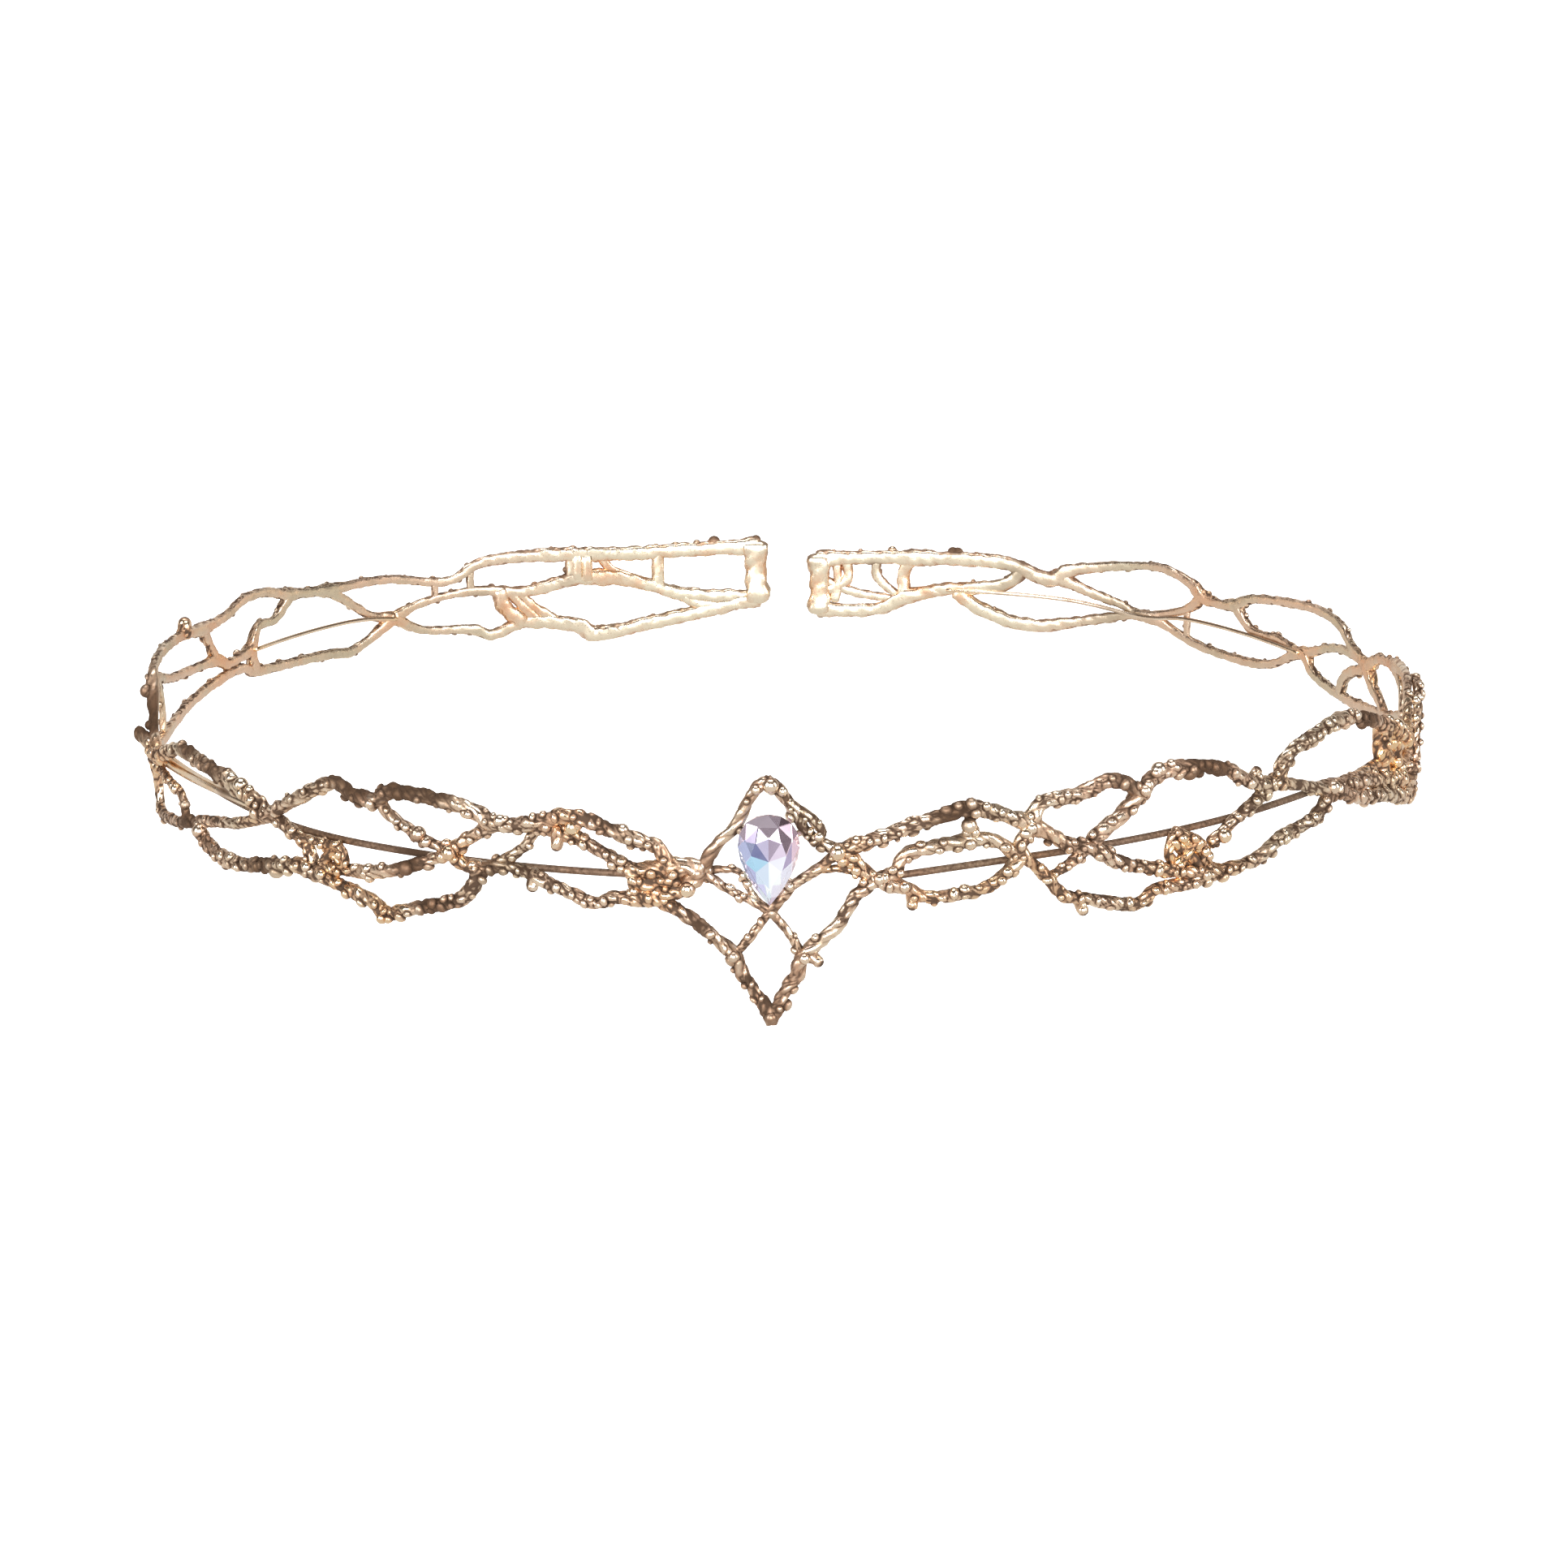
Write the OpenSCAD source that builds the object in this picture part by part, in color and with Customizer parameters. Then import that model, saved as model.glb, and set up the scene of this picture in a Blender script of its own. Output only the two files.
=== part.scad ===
// Rhinestone crown: an open-back circlet of soldered cast vines round one pear-cut crystal.
// Angles go round the head in degrees: 0 is the front, and they are negative to the left and
// positive to the right, as seen from the front. The band stops short of 180 at the back. Heights
// are millimetres above the middle of the band.

/* [Band] */
// Radius of the middle of the band at the front and back
ring_r = 76; // [70:0.5:84]
// How much further out the band runs at the sides of the head
side_bulge = 0.2; // [0:0.1:2]
// Thickness of every vine, as a share of the one in the table
vine_share = 1; // [0.85:0.05:1.2]
// Height of every knot and bend, as a share of the one in the tables
height_share = 1; // [0.9:0.05:1.1]
// How much of a vine's half thickness lies behind its middle, where the inside is flat
inside_share = 0.5; // [0.4:0.05:0.8]
// Depth of the twisted grooves in the vines, as a share of their half thickness
groove_share = 0.14; // [0:0.01:0.2]
// Length along a vine after which each ridge has turned to the place of the next
twist_pitch = 9; // [6:0.5:14]

/* [Berries and thorns] */
// Diameter of a cast berry
berry_d = 1.7; // [1.2:0.1:2]
// Diameter of a thorn at its root
thorn_root_d = 1.5; // [1:0.1:1.8]
// Diameter of a thorn at its point
thorn_point_d = 0.7; // [0.5:0.1:1]

/* [Pear crystal] */
// Width of the crystal across its round end
crystal_w = 6.25; // [5.5:0.05:6.5]
// Length of the crystal from its round end to its point
crystal_len = 9.5; // [8.5:0.1:10]
// Height of the crystal's point
crystal_point_z = -3; // [-3.5:0.1:-2.5]
// How far the crystal's girdle stands outside the middle of the band
crystal_lift = 1; // [0.5:0.1:1.5]
// Height of the cut front above the girdle
crown_h = 1.3; // [1:0.1:1.6]
// Thickness of the girdle
girdle_h = 0.3; // [0.2:0.1:0.5]
// Depth of the cut back below the girdle
pavilion_h = 2.2; // [1.8:0.1:2.6]
// Size of the flat table, as a share of the girdle's outline
table_share = 0.56; // [0.5:0.02:0.64]
// Gap between the crystal and the metal that holds it
seat_gap = 0.2; // [0.15:0.05:0.3]

/* [Hidden] */

// Most length between two sections of a vine, and of the core wire
vine_step = 7.5;
core_step = 12;
vine_sides = 6;
plain_sides = 5;
core_sides = 4;
girdle_points = 20;
// Slices of the crystal: their sizes as shares of the girdle, and how far up or down they lie
bezel_share = 0.81;
bezel_z_share = 0.6;
keel_share = 0.62;
keel_z_share = 0.6;
culet_share = 0.08;
slice_h = 0.02;

metal = [0.80, 0.56, 0.42];
opal = [0.80, 0.80, 0.95];

// Knots where vines cross or are soldered together, numbered from the front to the open back:
// L on the side of negative angles, R on the other.
// [name, angle, height]
KNOTS = [
    ["apex", 0, 9.75],
    ["left corner", -5.25, 0.25],
    ["right corner", 5.25, 2.25],
    ["waist", 0, -4],
    ["left shoulder", -2.75, -8.5],
    ["right shoulder", 2.5, -8.75],
    ["tip", 0, -15.5],
    ["left yoke", -8.75, -2.5],
    ["right yoke", 8, -1],
    ["L1", -15, 5.5],
    ["L2", -15.5, 3.5],
    ["L3", -18.5, -1],
    ["L4", -21.5, 4],
    ["L5", -23, -1],
    ["L6", -25.5, 0.5],
    ["L7", -32.5, 5],
    ["L8", -40, -4.5],
    ["L9", -45.5, 0.5],
    ["L10", -74.5, -1.25],
    ["L11", -81, 4.5],
    ["L12", -101.5, 6.5],
    ["L13", -104.5, 1.5],
    ["L14", -111.5, 1],
    ["L15", -118.5, 6.75],
    ["L16", -124.5, 6],
    ["L17", -133.5, 0],
    ["L18", -159.5, 2],
    ["left foot", -158.5, -6.5],
    ["left end top", -176.5, 5.5],
    ["left end bottom", -176.5, -2.25],
    ["R1", 15.5, 6],
    ["R2", 15.5, 2.5],
    ["R3", 19.5, 0.25],
    ["R4", 20.5, 3.5],
    ["R5", 25.5, 0.5],
    ["R6", 30, 5.5],
    ["R7", 44.5, 3.5],
    ["R8", 38, -4.75],
    ["R9", 53, 0.5],
    ["R10", 75, -0.5],
    ["R11", 90.5, 3.5],
    ["R12", 100.5, 0.75],
    ["R13", 114.5, -1.5],
    ["R14", 125.5, 2.5],
    ["R15", 130.5, 2.75],
    ["R16", 138, -1.5],
    ["R17", 149, 2.5],
    ["R18", 166, 4],
    ["R19", 167, -2],
    ["right end top", 176.5, 3.5],
    ["right end bottom", 176.5, -4],
];

// Vines, each a smooth curve through its stops. A stop is a knot's name, or the angle and height of
// a bend between knots. Lift is how far the vine lies outside the middle of the band, and twisted
// says whether it has the turned ridges or is a smooth wire.
// [thickness, lift, twisted, stops]
VINES = [
    // Upper diamond, with a leaf on its right side
    [1.3, 0, true, ["apex", [-1.25, 8.25], [-2.5, 5], [-4, 3], "left corner"]],
    [1.3, 0, true, ["apex", [1.25, 8], [2.5, 5], [3.5, 3.5], "right corner"]],
    [1.2, 0.4, false, [[1.5, 7.5], [3.25, 5.75], [4, 4.25], [3.25, 3.25]]],
    [1, 0, false, ["left corner", [-3, -1.75], [-1.5, -2.75], "waist"]],
    [0.8, -0.3, false, ["left corner", [-2.5, 0.25], [-1.75, -1.25], [-1, -2.75], "waist"]],
    [1.2, 0, false, ["right corner", [3.75, 0.5], [1.75, -1.25], "waist"]],
    // Lower diamond and the V down to the tip
    [1, 0, false, ["waist", [-1, -5.75], [-1.75, -7], "left shoulder"]],
    [1, 0, false, ["waist", [1, -5.5], [1.75, -7], "right shoulder"]],
    [1.5, 0.2, true, ["left yoke", [-6, -4.75], [-5, -5.75], "left shoulder",
                      [-2.25, -10.25], [-1.5, -11.75], [-0.75, -13.25], "tip"]],
    [1.5, 0.2, true, ["right yoke", [6.5, -2.5], [5.25, -5.25], "right shoulder",
                      [2, -10.75], [1.25, -12], [0.75, -13.5], "tip"]],
    // Bundle at the left corner and yoke at the right one
    [2, 0.2, true, ["left corner", [-6.5, 0.75], [-8, 0.5], [-10.75, 0]]],
    [2, 0.2, true, ["left corner", [-6.25, -1], [-7.5, -2], "left yoke", [-10.75, -2.75]]],
    [2, 0.4, true, [[-6.5, 0.5], [-8, -0.75], [-10.5, -1]]],
    [0.9, -0.2, false, [[3.75, 0.25], [5.75, 0.25], "right yoke"]],
    [1.5, 0.2, true, ["right corner", [6.5, 1.25], [7.25, 0], "right yoke"]],
    // Left wing, from the bundle to the side
    [1.7, 0.4, true, [[-7.5, 0.5], [-8.5, 2.75], [-11, 3.75], "L1", [-18.5, 4.5], "L4",
                      [-24, 5.5], [-30.5, 6.25], "L7", [-35, 5], [-37, 6], [-41, 3.5], "L9"]],
    [1.5, -0.1, true, [[-10, 0], [-12, 1.25], "L2", [-18.5, 4.25]]],
    [1.2, 0, true, ["L1", "L2"]],
    [1.2, -0.2, false, [[-18, 4.5], [-19.5, 1.5], "L5"]],
    [1.5, 0, true, ["L4", [-23.5, 2.5], "L6", [-24.5, -0.75], "L5"]],
    [1.3, 0, true, ["L5", [-21, -0.5], "L3"]],
    [1.5, 0.3, true, ["L3", [-17, -1.75], [-13.5, -3.5], [-12, -2.75], "left yoke"]],
    [1.7, 0.3, true, ["L5", [-24.5, -4.25], [-28, -5.75], [-32, -7.25], [-33.5, -6.25], "L8",
                      [-43, -4.5], [-49.5, -6.25], [-54, -6.25], [-58, -4.75]]],
    [1.3, 0, true, ["L6", [-28, 1.25], [-31.5, 3.5], "L7"]],
    [1.5, 0.2, true, ["L6", [-29, -1.5], [-33, -3], [-38, -3.75], "L8"]],
    [1.5, 0, true, ["L9", [-42, -1], [-40.5, -2.5], "L8"]],
    [1.1, 0.4, false, [[-42, -1], [-39, -1], [-36.5, -1.25], [-36.25, -3], [-38, -3.5]]],
    [1.8, 0.4, true, ["L9", [-48, 2], [-55.5, 3.5], [-61.5, 3.5], [-68, 1], "L10"]],
    [1.2, 0.2, false, ["L10", [-67, -1.5], [-62, -2], [-61, -4.5]]],
    // Left half of the back
    [1.7, 0, false, ["L9", [-50, -1.75], [-57, -3.5], [-61, -5], [-67, -6.5], [-73, -7], "L10",
                     [-78.5, 1.5], "L11", [-83.5, 7], [-94, 7.25], "L12", [-107, 6.75],
                     [-110.5, 8], [-114.5, 8], "L15", "L16", [-132.5, 5.75], [-140.5, 4],
                     [-145, 6], [-153, 6], [-162, 5.25], "left end top"]],
    [1.6, 0, false, ["L11", [-84.5, 5.25], [-91.5, 3], [-99, 2], "L13", [-107, 0.25], "L14"]],
    [1.8, 0, false, ["L10", [-85, -3], [-92, -2.75], [-100, -1.75], [-109, -1], [-112.5, -2.25],
                     [-124, -3], [-128, -3.25], "L17"]],
    [1.5, 0, false, ["L12", [-102.5, 5], "L13"]],
    [1.6, 0, false, ["L15", [-116, 4], [-113, 3.75], "L14"]],
    [2.4, 0, false, [[-111.25, 1.5], [-112, -2]]],
    [1.3, 0, false, [[-85, 5], [-87, 1.5], [-87, -2.25]]],
    [1.6, 0, false, ["L16", [-128, 3], [-130.5, 1], "L17"]],
    [1.6, 0, false, ["L17", [-137.5, 1.5], [-144, 2], [-150, 1], [-155.5, 2], "L18",
                     [-163.5, 0.75], [-168.5, -1.25], [-176, -2]]],
    [1.7, 0, false, ["L17", [-137.5, -2.5], [-143.5, -3.5], [-146, -4.75], [-150, -3.5],
                     [-156, -4.75], "left foot", [-164.5, -5.25], [-170.5, -4],
                     "left end bottom"]],
    [1.3, 0, false, [[-139, 4.25], [-139, 1.75]]],
    [1.3, 0, false, [[-143.5, 5], [-143.5, 2]]],
    [1.3, 0, false, [[-155.5, 6], [-155.5, 2]]],
    [1.5, 0, false, [[-165.5, 5.25], [-165.5, 0]]],
    [2.2, 0, false, [[-147, 1.5], [-147.5, -0.75], [-149.5, -3.5]]],
    [2.4, 0, false, ["left end top", "left end bottom"]],
    // Right wing, from the yoke to the side
    [1.7, 0.3, true, ["right corner", [7, 3], [9.5, 4], [12.5, 5.25], "R1", [18.5, 4.75], "R4",
                      [23, 1.5], "R5"]],
    [1.7, 0.1, true, ["R4", [21.25, 5.75], [24.5, 6.25], [27.5, 7.25], "R6"]],
    [1.7, 0, true, ["R6", [28.5, 3.5], [26.5, 1.75], "R5"]],
    [1.5, 0, true, ["right yoke", [9.5, -0.25], [10.75, 1.75], "R2", [17.5, 2.25], "R3"]],
    [1.2, 0, true, ["R1", "R2"]],
    [1.5, 0.3, true, ["R4", [19.5, 1.75], [19.75, 0.5], [21.5, -1.75], [23.25, -4.25],
                      [26, -5.25], [29.75, -6.5], [31.5, -5.25], [35.5, -5.25], "R8"]],
    [1.5, 0.2, true, ["right yoke", [10.5, -2], [12, -3], [16, -2.75], [18.25, -1.25], "R3"]],
    [1.2, 0, true, ["R5", [23.5, -1.25], [22, -2.25]]],
    [1.6, 0.3, true, ["R5", [28.5, -1.75], [33, -3.5], "R8", [42.5, -4.5], [45.5, -3],
                      [50.5, -2], "R9"]],
    [1.4, 0, true, [[33.5, 0.5], [36, -1.25], [36.75, -3.5], "R8"]],
    [1.7, 0.4, true, ["R6", [31.5, 7], [34.5, 7.5], [38.5, 6.25], [41.5, 4.25], "R7",
                      [46.5, 6.25], [53.5, 8], [59.5, 6.5], [67.5, 2.75], "R10"]],
    [1.5, 0.2, true, ["R7", [42.5, 2], [40, 0.5], [37.25, -1.5]]],
    [1.7, 0.8, true, ["R9", [56, -1.25], [60, -2.5], [64.5, -3.75], [72, -6.5], [78, -5],
                      [83, -2.25]]],
    [2.4, 0.1, true, [[63.75, 4.5], [64, -1]]],
    [1.5, 0.3, true, [[66, 3.5], [69, -1], [71.5, -6.5]]],
    [1.8, 0.3, true, [[54.5, 0.25], [60, -0.75], [68, -3.25], [73, -5]]],
    [1.4, 1.2, true, [[86, 3.5], [82, 3], [79.5, 0], [78, -4]]],
    // Right half of the back
    [1.7, 0, false, ["R7", [48.5, 2], "R9", [62, 0.25], [69, 0], "R10", [79, 2], [84, 4],
                     "R11", [97, 2.5], "R12", [104.5, 2],
                     [107.5, 4.25], [113, 5], [122.5, 4], "R14", [128.5, 2.25], "R15",
                     [132, 4.25], [136, 5.75], [141, 5.25], [147.5, 3.75], "R17", [151, 2.25],
                     [156, 4], "R18", "right end top"]],
    [1.7, 0, false, ["R10", [84, -1.75], [88, -2], [92, -3.5], [96, -4.25], [105, -5.25],
                     [112, -4], "R13", [119.5, -4.25], [124, -5], [131, -4.25], "R16",
                     [143.5, -2.75], [152, -5], [157.5, -3.5], [161, -1]]],
    [1.6, 0, false, ["R11", [87, 1.5], [86.5, -1.5]]],
    [1.8, 0, false, ["R12", [99, -1.5], [96.75, -2.75], [95.25, -4]]],
    [1.6, 0, false, ["R12", [107.5, 1], "R13", [118.5, -0.75], [123, -0.5], "R14"]],
    [2, 0, false, [[98, 2.25], [101, 0.25], [105.5, -2], [107, -4.75]]],
    [1.6, 0, false, ["R15", [132.5, 0.5], "R16", [141.5, -0.25], [145.5, 1], "R17"]],
    [1.6, 0, false, [[153.25, 3], [156, 0.5], [162, -0.5], "R19", [170.5, -4],
                     "right end bottom"]],
    [1.4, 0, false, ["R18", [167, 1.75], "R19"]],
    [1.2, 0, false, [[170, 3.75], [170, 1], [168, -1.5]]],
    [1.3, 0, false, [[173.5, 3.75], [173.5, 0.25], [176.5, -1.5]]],
    [1.3, 0, false, [[132.5, 0.5], [132.5, -4]]],
    [2.2, 0, false, ["right end top", "right end bottom"]],
];

// Straight lengths of core wire soldered in behind the vines, through stops as above
CORE_WIRES = [
    [[-7, -0.5], [-28, -0.5], [-42, -0.5], [-58, 0.5], [-66, 0], "L10"],
    ["L14", [-127, 1], "L17"],
    ["right yoke", [20, 0], [44, 0.5], "R9"],
    ["R13", [131, -0.75], "R16", [148, -0.5], [162, -0.5]],
];
core_d = 0.8;
core_lift = -0.7;

// Berries, round and proud of the vines
// [angle, height]
BERRIES = [
    [0.25, 9.25], [5.25, 2.25], [-6.25, -1.25], [-9, 0.75], [-15, 4.5], [-25.5, 0.5],
    [-29.5, -1.75], [-28.5, 2.25], [-44.5, -6], [-49, 2.75], [-57, -4.75], [-81, 4.75],
    [15.25, 4.25], [31.5, 7.5], [34.5, 6.75], [38.25, -0.75], [50.25, 2.5], [67, 3.25],
    [76, 0.75], [-172, 6.25], [161, 4.75],
];

// Thorns, each from its root on a vine to its point
// [angle, height, angle of the point, height of the point, how far the point stands out]
THORNS = [
    [-16.25, 4, -16.5, 1.5, 0.5],
    [-18.5, -0.75, -18.5, -3, 0.5],
    [-51.25, 2.5, -51.5, 4.25, 0.5],
    [-52.5, -6.25, -52.5, -7.75, 0.5],
    [-75.5, -1, -78.5, 0.5, 2],
    [-96.5, 7, -97.25, 8.75, 0],
    [3, -8.75, 4, -9.5, 0.5],
    [11, -2.75, 10.75, -4.25, 0.5],
    [24.5, -5, 25, -6.75, 0.5],
    [42, 4.25, 42.25, 5.75, 0.5],
];

// Lugs soldered behind the crystal, from a root on the motif to a tip under its girdle
// [angle of the root, height of the root, angle of the tip, height of the tip]
LUGS = [
    [-2.5, 5, -1.25, 4],
    [3, 4.5, 1.5, 3.5],
    [-1.75, -1.25, -0.75, -0.25],
    [1.75, -1.25, 0.75, -0.25],
];
lug_d = 1;
lug_lift = -0.7;

function knot(name) = let (row = KNOTS[search([name], KNOTS)[0]]) [row[1], row[2]];
function stop(s) = is_string(s) ? knot(s) : s;
function span(a, b) = norm([(b[0] - a[0]) * ring_r * PI / 180, b[1] - a[1]]);
function radius(angle) = ring_r + side_bulge * pow(sin(angle), 4);

// Catmull-Rom curve through b and c at t from 0 to 1
function bend(a, b, c, d, t) =
    b + (c - a) * t / 2 + (2 * a - 5 * b + 4 * c - d) * t * t / 2
    + (3 * b - a - 3 * c + d) * t * t * t / 2;

function course(stops, step) =
    let (p = [for (s = stops) stop(s)], last = len(p) - 1)
    [for (i = [0:last - 1])
        let (steps = ceil(span(p[i], p[i + 1]) / step))
        for (k = [0:steps - 1])
            bend(p[max(i - 1, 0)], p[i], p[i + 1], p[min(i + 2, last)], k / steps),
     p[last]];

function outward(angle) = [sin(angle), -cos(angle), 0];
function on_band(place, lift) =
    (radius(place[0]) + lift) * outward(place[0]) + [0, 0, place[1] * height_share];

// One section of a vine: round outside with turned ridges, flat on the inside
function section(at, along, out, half, groove, turn, sides) =
    let (side = cross(along, out) / norm(cross(along, out)), up = cross(side, along))
    [for (k = [0:sides - 1])
        let (a = 360 * (k + 0.5) / sides,
             r = half * (1 + groove * cos(3 * a - turn)))
        at + side * r * sin(a) + up * max(r * cos(a), -half * inside_share)];

module strand(half, lift, sides, groove, step, stops) {
    places = course(stops, step);
    last = len(places) - 1;
    points = [for (p = places) on_band(p, lift)];
    sections = [for (i = [0:last])
        let (way = points[min(i + 1, last)] - points[max(i - 1, 0)])
        each section(points[i], way / norm(way), outward(places[i][0]), half, groove,
                     360 * i * step / twist_pitch, sides)];
    faces = [
        [for (k = [0:sides - 1]) k],
        for (i = [0:last - 1], k = [0:sides - 1])
            let (a = i * sides + k, b = i * sides + (k + 1) % sides)
            [a, a + sides, b + sides, b],
        [for (k = [sides - 1:-1:0]) last * sides + k],
    ];
    polyhedron(sections, faces);
}

module vine(thick, lift, twisted, stops) {
    half = thick * vine_share / 2;
    if (twisted)
        strand(half, lift, vine_sides, groove_share, vine_step, stops);
    else
        strand(half, lift, plain_sides, 0, vine_step, stops);
}

module berry(angle, height) {
    translate(on_band([angle, height], berry_d / 4)) sphere(d = berry_d, $fn = 5);
}

module thorn(angle, height, point_angle, point_height, proud) {
    hull() {
        translate(on_band([angle, height], 0)) sphere(d = thorn_root_d, $fn = 4);
        translate(on_band([point_angle, point_height], proud)) sphere(d = thorn_point_d, $fn = 4);
    }
}

// Pear outline, point down at t = 0 and round end up at t = 180, a share of the girdle's size
function pear(t, share) =
    let (widest = sin(109.5) * sin(109.5 / 2))
    [sin(t) * sin(t / 2) * crystal_w / 2 / widest, -cos(t) * crystal_len / 2] * share;

// A thin slice of the crystal, grown outwards, with its corners turned by a part of a facet
module pear_layer(share, z, turn, thick, grow) {
    translate([0, 0, z])
        linear_extrude(thick)
            offset(delta = grow)
                polygon([for (k = [0:girdle_points - 1])
                    pear(360 * (k + turn) / girdle_points, share)]);
}

// The cut stone lying on its back, all of it grown by the same amount
module crystal_shape(grow) {
    hull() {
        pear_layer(table_share, girdle_h + crown_h - slice_h + grow, 0, slice_h, grow);
        pear_layer(bezel_share, girdle_h + bezel_z_share * crown_h, 0.5, slice_h, grow);
        pear_layer(1, 0, 0, girdle_h, grow);
        pear_layer(keel_share, -keel_z_share * pavilion_h, 0.5, slice_h, grow);
        pear_layer(culet_share, -pavilion_h - grow, 0, slice_h, grow);
    }
}

module set_in_motif() {
    translate([0, -ring_r - crystal_lift, crystal_point_z + crystal_len / 2])
        rotate([90, 0, 0])
            children();
}

module lug(root_angle, root_height, tip_angle, tip_height) {
    hull() {
        translate(on_band([root_angle, root_height], 0)) sphere(d = lug_d, $fn = 5);
        translate(on_band([tip_angle, tip_height], lug_lift)) sphere(d = lug_d, $fn = 5);
    }
}

// The circlet lies on three places: the tip, the left foot and a low bend on the right
FEET = [stop("tip"), stop("left foot"), [152, -5]];
// Half the thickness of the vines there
foot_half = 0.85;
// Moves the middle of the circlet's box over the origin
middle_shift = [-0.85, -0.55, 0];

function foot(place) = on_band(place, 0) - [0, 0, foot_half * vine_share];

foot_plane = cross(foot(FEET[2]) - foot(FEET[0]), foot(FEET[1]) - foot(FEET[0]));
rest_axis = cross(foot_plane, [0, 0, 1]);
rest_angle = acos(foot_plane[2] / norm(foot_plane));

module at_rest() {
    translate([0, -ring_r, 0] + middle_shift)
        rotate(a = rest_angle, v = rest_axis)
            translate(-foot(FEET[0]))
                children();
}

module circlet_frame() {
    color(metal)
        at_rest()
            union() {
                for (v = VINES) vine(v[0], v[1], v[2], v[3]);
                for (c = CORE_WIRES)
                    strand(core_d / 2, core_lift, core_sides, 0, core_step, c);
                for (b = BERRIES) berry(b[0], b[1]);
                for (t = THORNS) thorn(t[0], t[1], t[2], t[3], t[4]);
                difference() {
                    for (l = LUGS) lug(l[0], l[1], l[2], l[3]);
                    set_in_motif() crystal_shape(seat_gap);
                }
            }
}

module pear_crystal() {
    color(opal)
        at_rest()
            set_in_motif()
                crystal_shape(0);
}

circlet_frame();
pear_crystal();
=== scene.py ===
"""Rhinestone crown: an open-back circlet of cast vines round one pear-cut crystal.

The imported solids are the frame. Every vine, berry and thorn is made again here on the route of
its solid, with the bark, seed grains and worn edges that the solids leave out, and the crystal
is cut again with its facets. Sizes are in millimetres until a mesh is laid at rest.
"""
from __future__ import annotations

import logging
import math
import random
from dataclasses import dataclass, field
from enum import Enum
from typing import Any, NamedTuple, Optional, Sequence, Union

import bmesh
import bpy
from mathutils import Matrix, Vector, kdtree, noise


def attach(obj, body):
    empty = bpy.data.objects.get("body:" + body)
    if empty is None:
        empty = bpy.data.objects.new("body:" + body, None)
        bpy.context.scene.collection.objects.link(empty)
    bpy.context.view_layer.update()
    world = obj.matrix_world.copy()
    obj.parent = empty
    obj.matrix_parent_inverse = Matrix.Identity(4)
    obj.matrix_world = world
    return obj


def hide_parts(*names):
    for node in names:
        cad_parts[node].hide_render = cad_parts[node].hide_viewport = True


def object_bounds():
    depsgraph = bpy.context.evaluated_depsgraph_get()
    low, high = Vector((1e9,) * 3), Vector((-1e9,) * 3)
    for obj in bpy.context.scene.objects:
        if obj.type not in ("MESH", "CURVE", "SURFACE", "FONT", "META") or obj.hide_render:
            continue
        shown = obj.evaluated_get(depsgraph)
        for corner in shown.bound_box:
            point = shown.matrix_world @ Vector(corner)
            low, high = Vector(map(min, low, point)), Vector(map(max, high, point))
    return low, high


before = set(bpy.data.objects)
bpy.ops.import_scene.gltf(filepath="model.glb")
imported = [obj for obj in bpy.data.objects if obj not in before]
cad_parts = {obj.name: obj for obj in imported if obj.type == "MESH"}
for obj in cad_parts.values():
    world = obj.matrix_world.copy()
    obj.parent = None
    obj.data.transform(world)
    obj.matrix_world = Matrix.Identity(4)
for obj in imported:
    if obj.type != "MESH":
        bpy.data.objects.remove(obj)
CAD_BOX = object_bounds()

LOG = logging.getLogger("crown")
MM = 0.001

Spot = tuple[float, float]
Colour = tuple[float, float, float]


class Surface(Enum):
    """How the outward face of a vine is worked."""

    BARK = "bark"
    TWIG = "twig"
    LIMB = "limb"
    WIRE = "wire"


BARK, TWIG, LIMB, WIRE = Surface.BARK, Surface.TWIG, Surface.LIMB, Surface.WIRE


class Vine(NamedTuple):
    """One vine: its thickness, how far it lies outside the band, its surface and its stops.

    A stop is a knot's name, or the angle and height of a bend between knots.
    """

    thick: float
    lift: float
    surface: Surface
    stops: str


# Knots where vines cross or are soldered together, as (angle, height): L to the left of the
# front, R to the right, numbered towards the open back.
KNOTS: dict[str, Spot] = {
    "apex": (0, 9.75), "left_corner": (-5.25, 0.25), "right_corner": (5.25, 2.25),
    "waist": (0, -4), "left_shoulder": (-2.75, -8.5), "right_shoulder": (2.5, -8.75),
    "tip": (0, -15.5), "left_yoke": (-8.75, -2.5), "right_yoke": (8, -1), "L1": (-15, 5.5),
    "L2": (-15.5, 3.5), "L3": (-18.5, -1), "L4": (-21.5, 4), "L5": (-23, -1), "L6": (-25.5, 0.5),
    "L7": (-32.5, 5), "L8": (-40, -4.5), "L9": (-45.5, 0.5), "L10": (-74.5, -1.25),
    "L11": (-81, 4.5), "L12": (-101.5, 6.5), "L13": (-104.5, 1.5), "L14": (-111.5, 1),
    "L15": (-118.5, 6.75), "L16": (-124.5, 6), "L17": (-133.5, 0), "L18": (-159.5, 2),
    "left_foot": (-158.5, -6.5), "left_end_top": (-176.5, 5.5), "left_end_bottom": (-176.5, -2.25),
    "R1": (15.5, 6), "R2": (15.5, 2.5), "R3": (19.5, 0.25), "R4": (20.5, 3.5), "R5": (25.5, 0.5),
    "R6": (30, 5.5), "R7": (44.5, 3.5), "R8": (38, -4.75), "R9": (53, 0.5), "R10": (75, -0.5),
    "R11": (90.5, 3.5), "R12": (100.5, 0.75), "R13": (114.5, -1.5), "R14": (125.5, 2.5),
    "R15": (130.5, 2.75), "R16": (138, -1.5), "R17": (149, 2.5), "R18": (166, 4), "R19": (167, -2),
    "right_end_top": (176.5, 3.5), "right_end_bottom": (176.5, -4),
}

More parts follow.
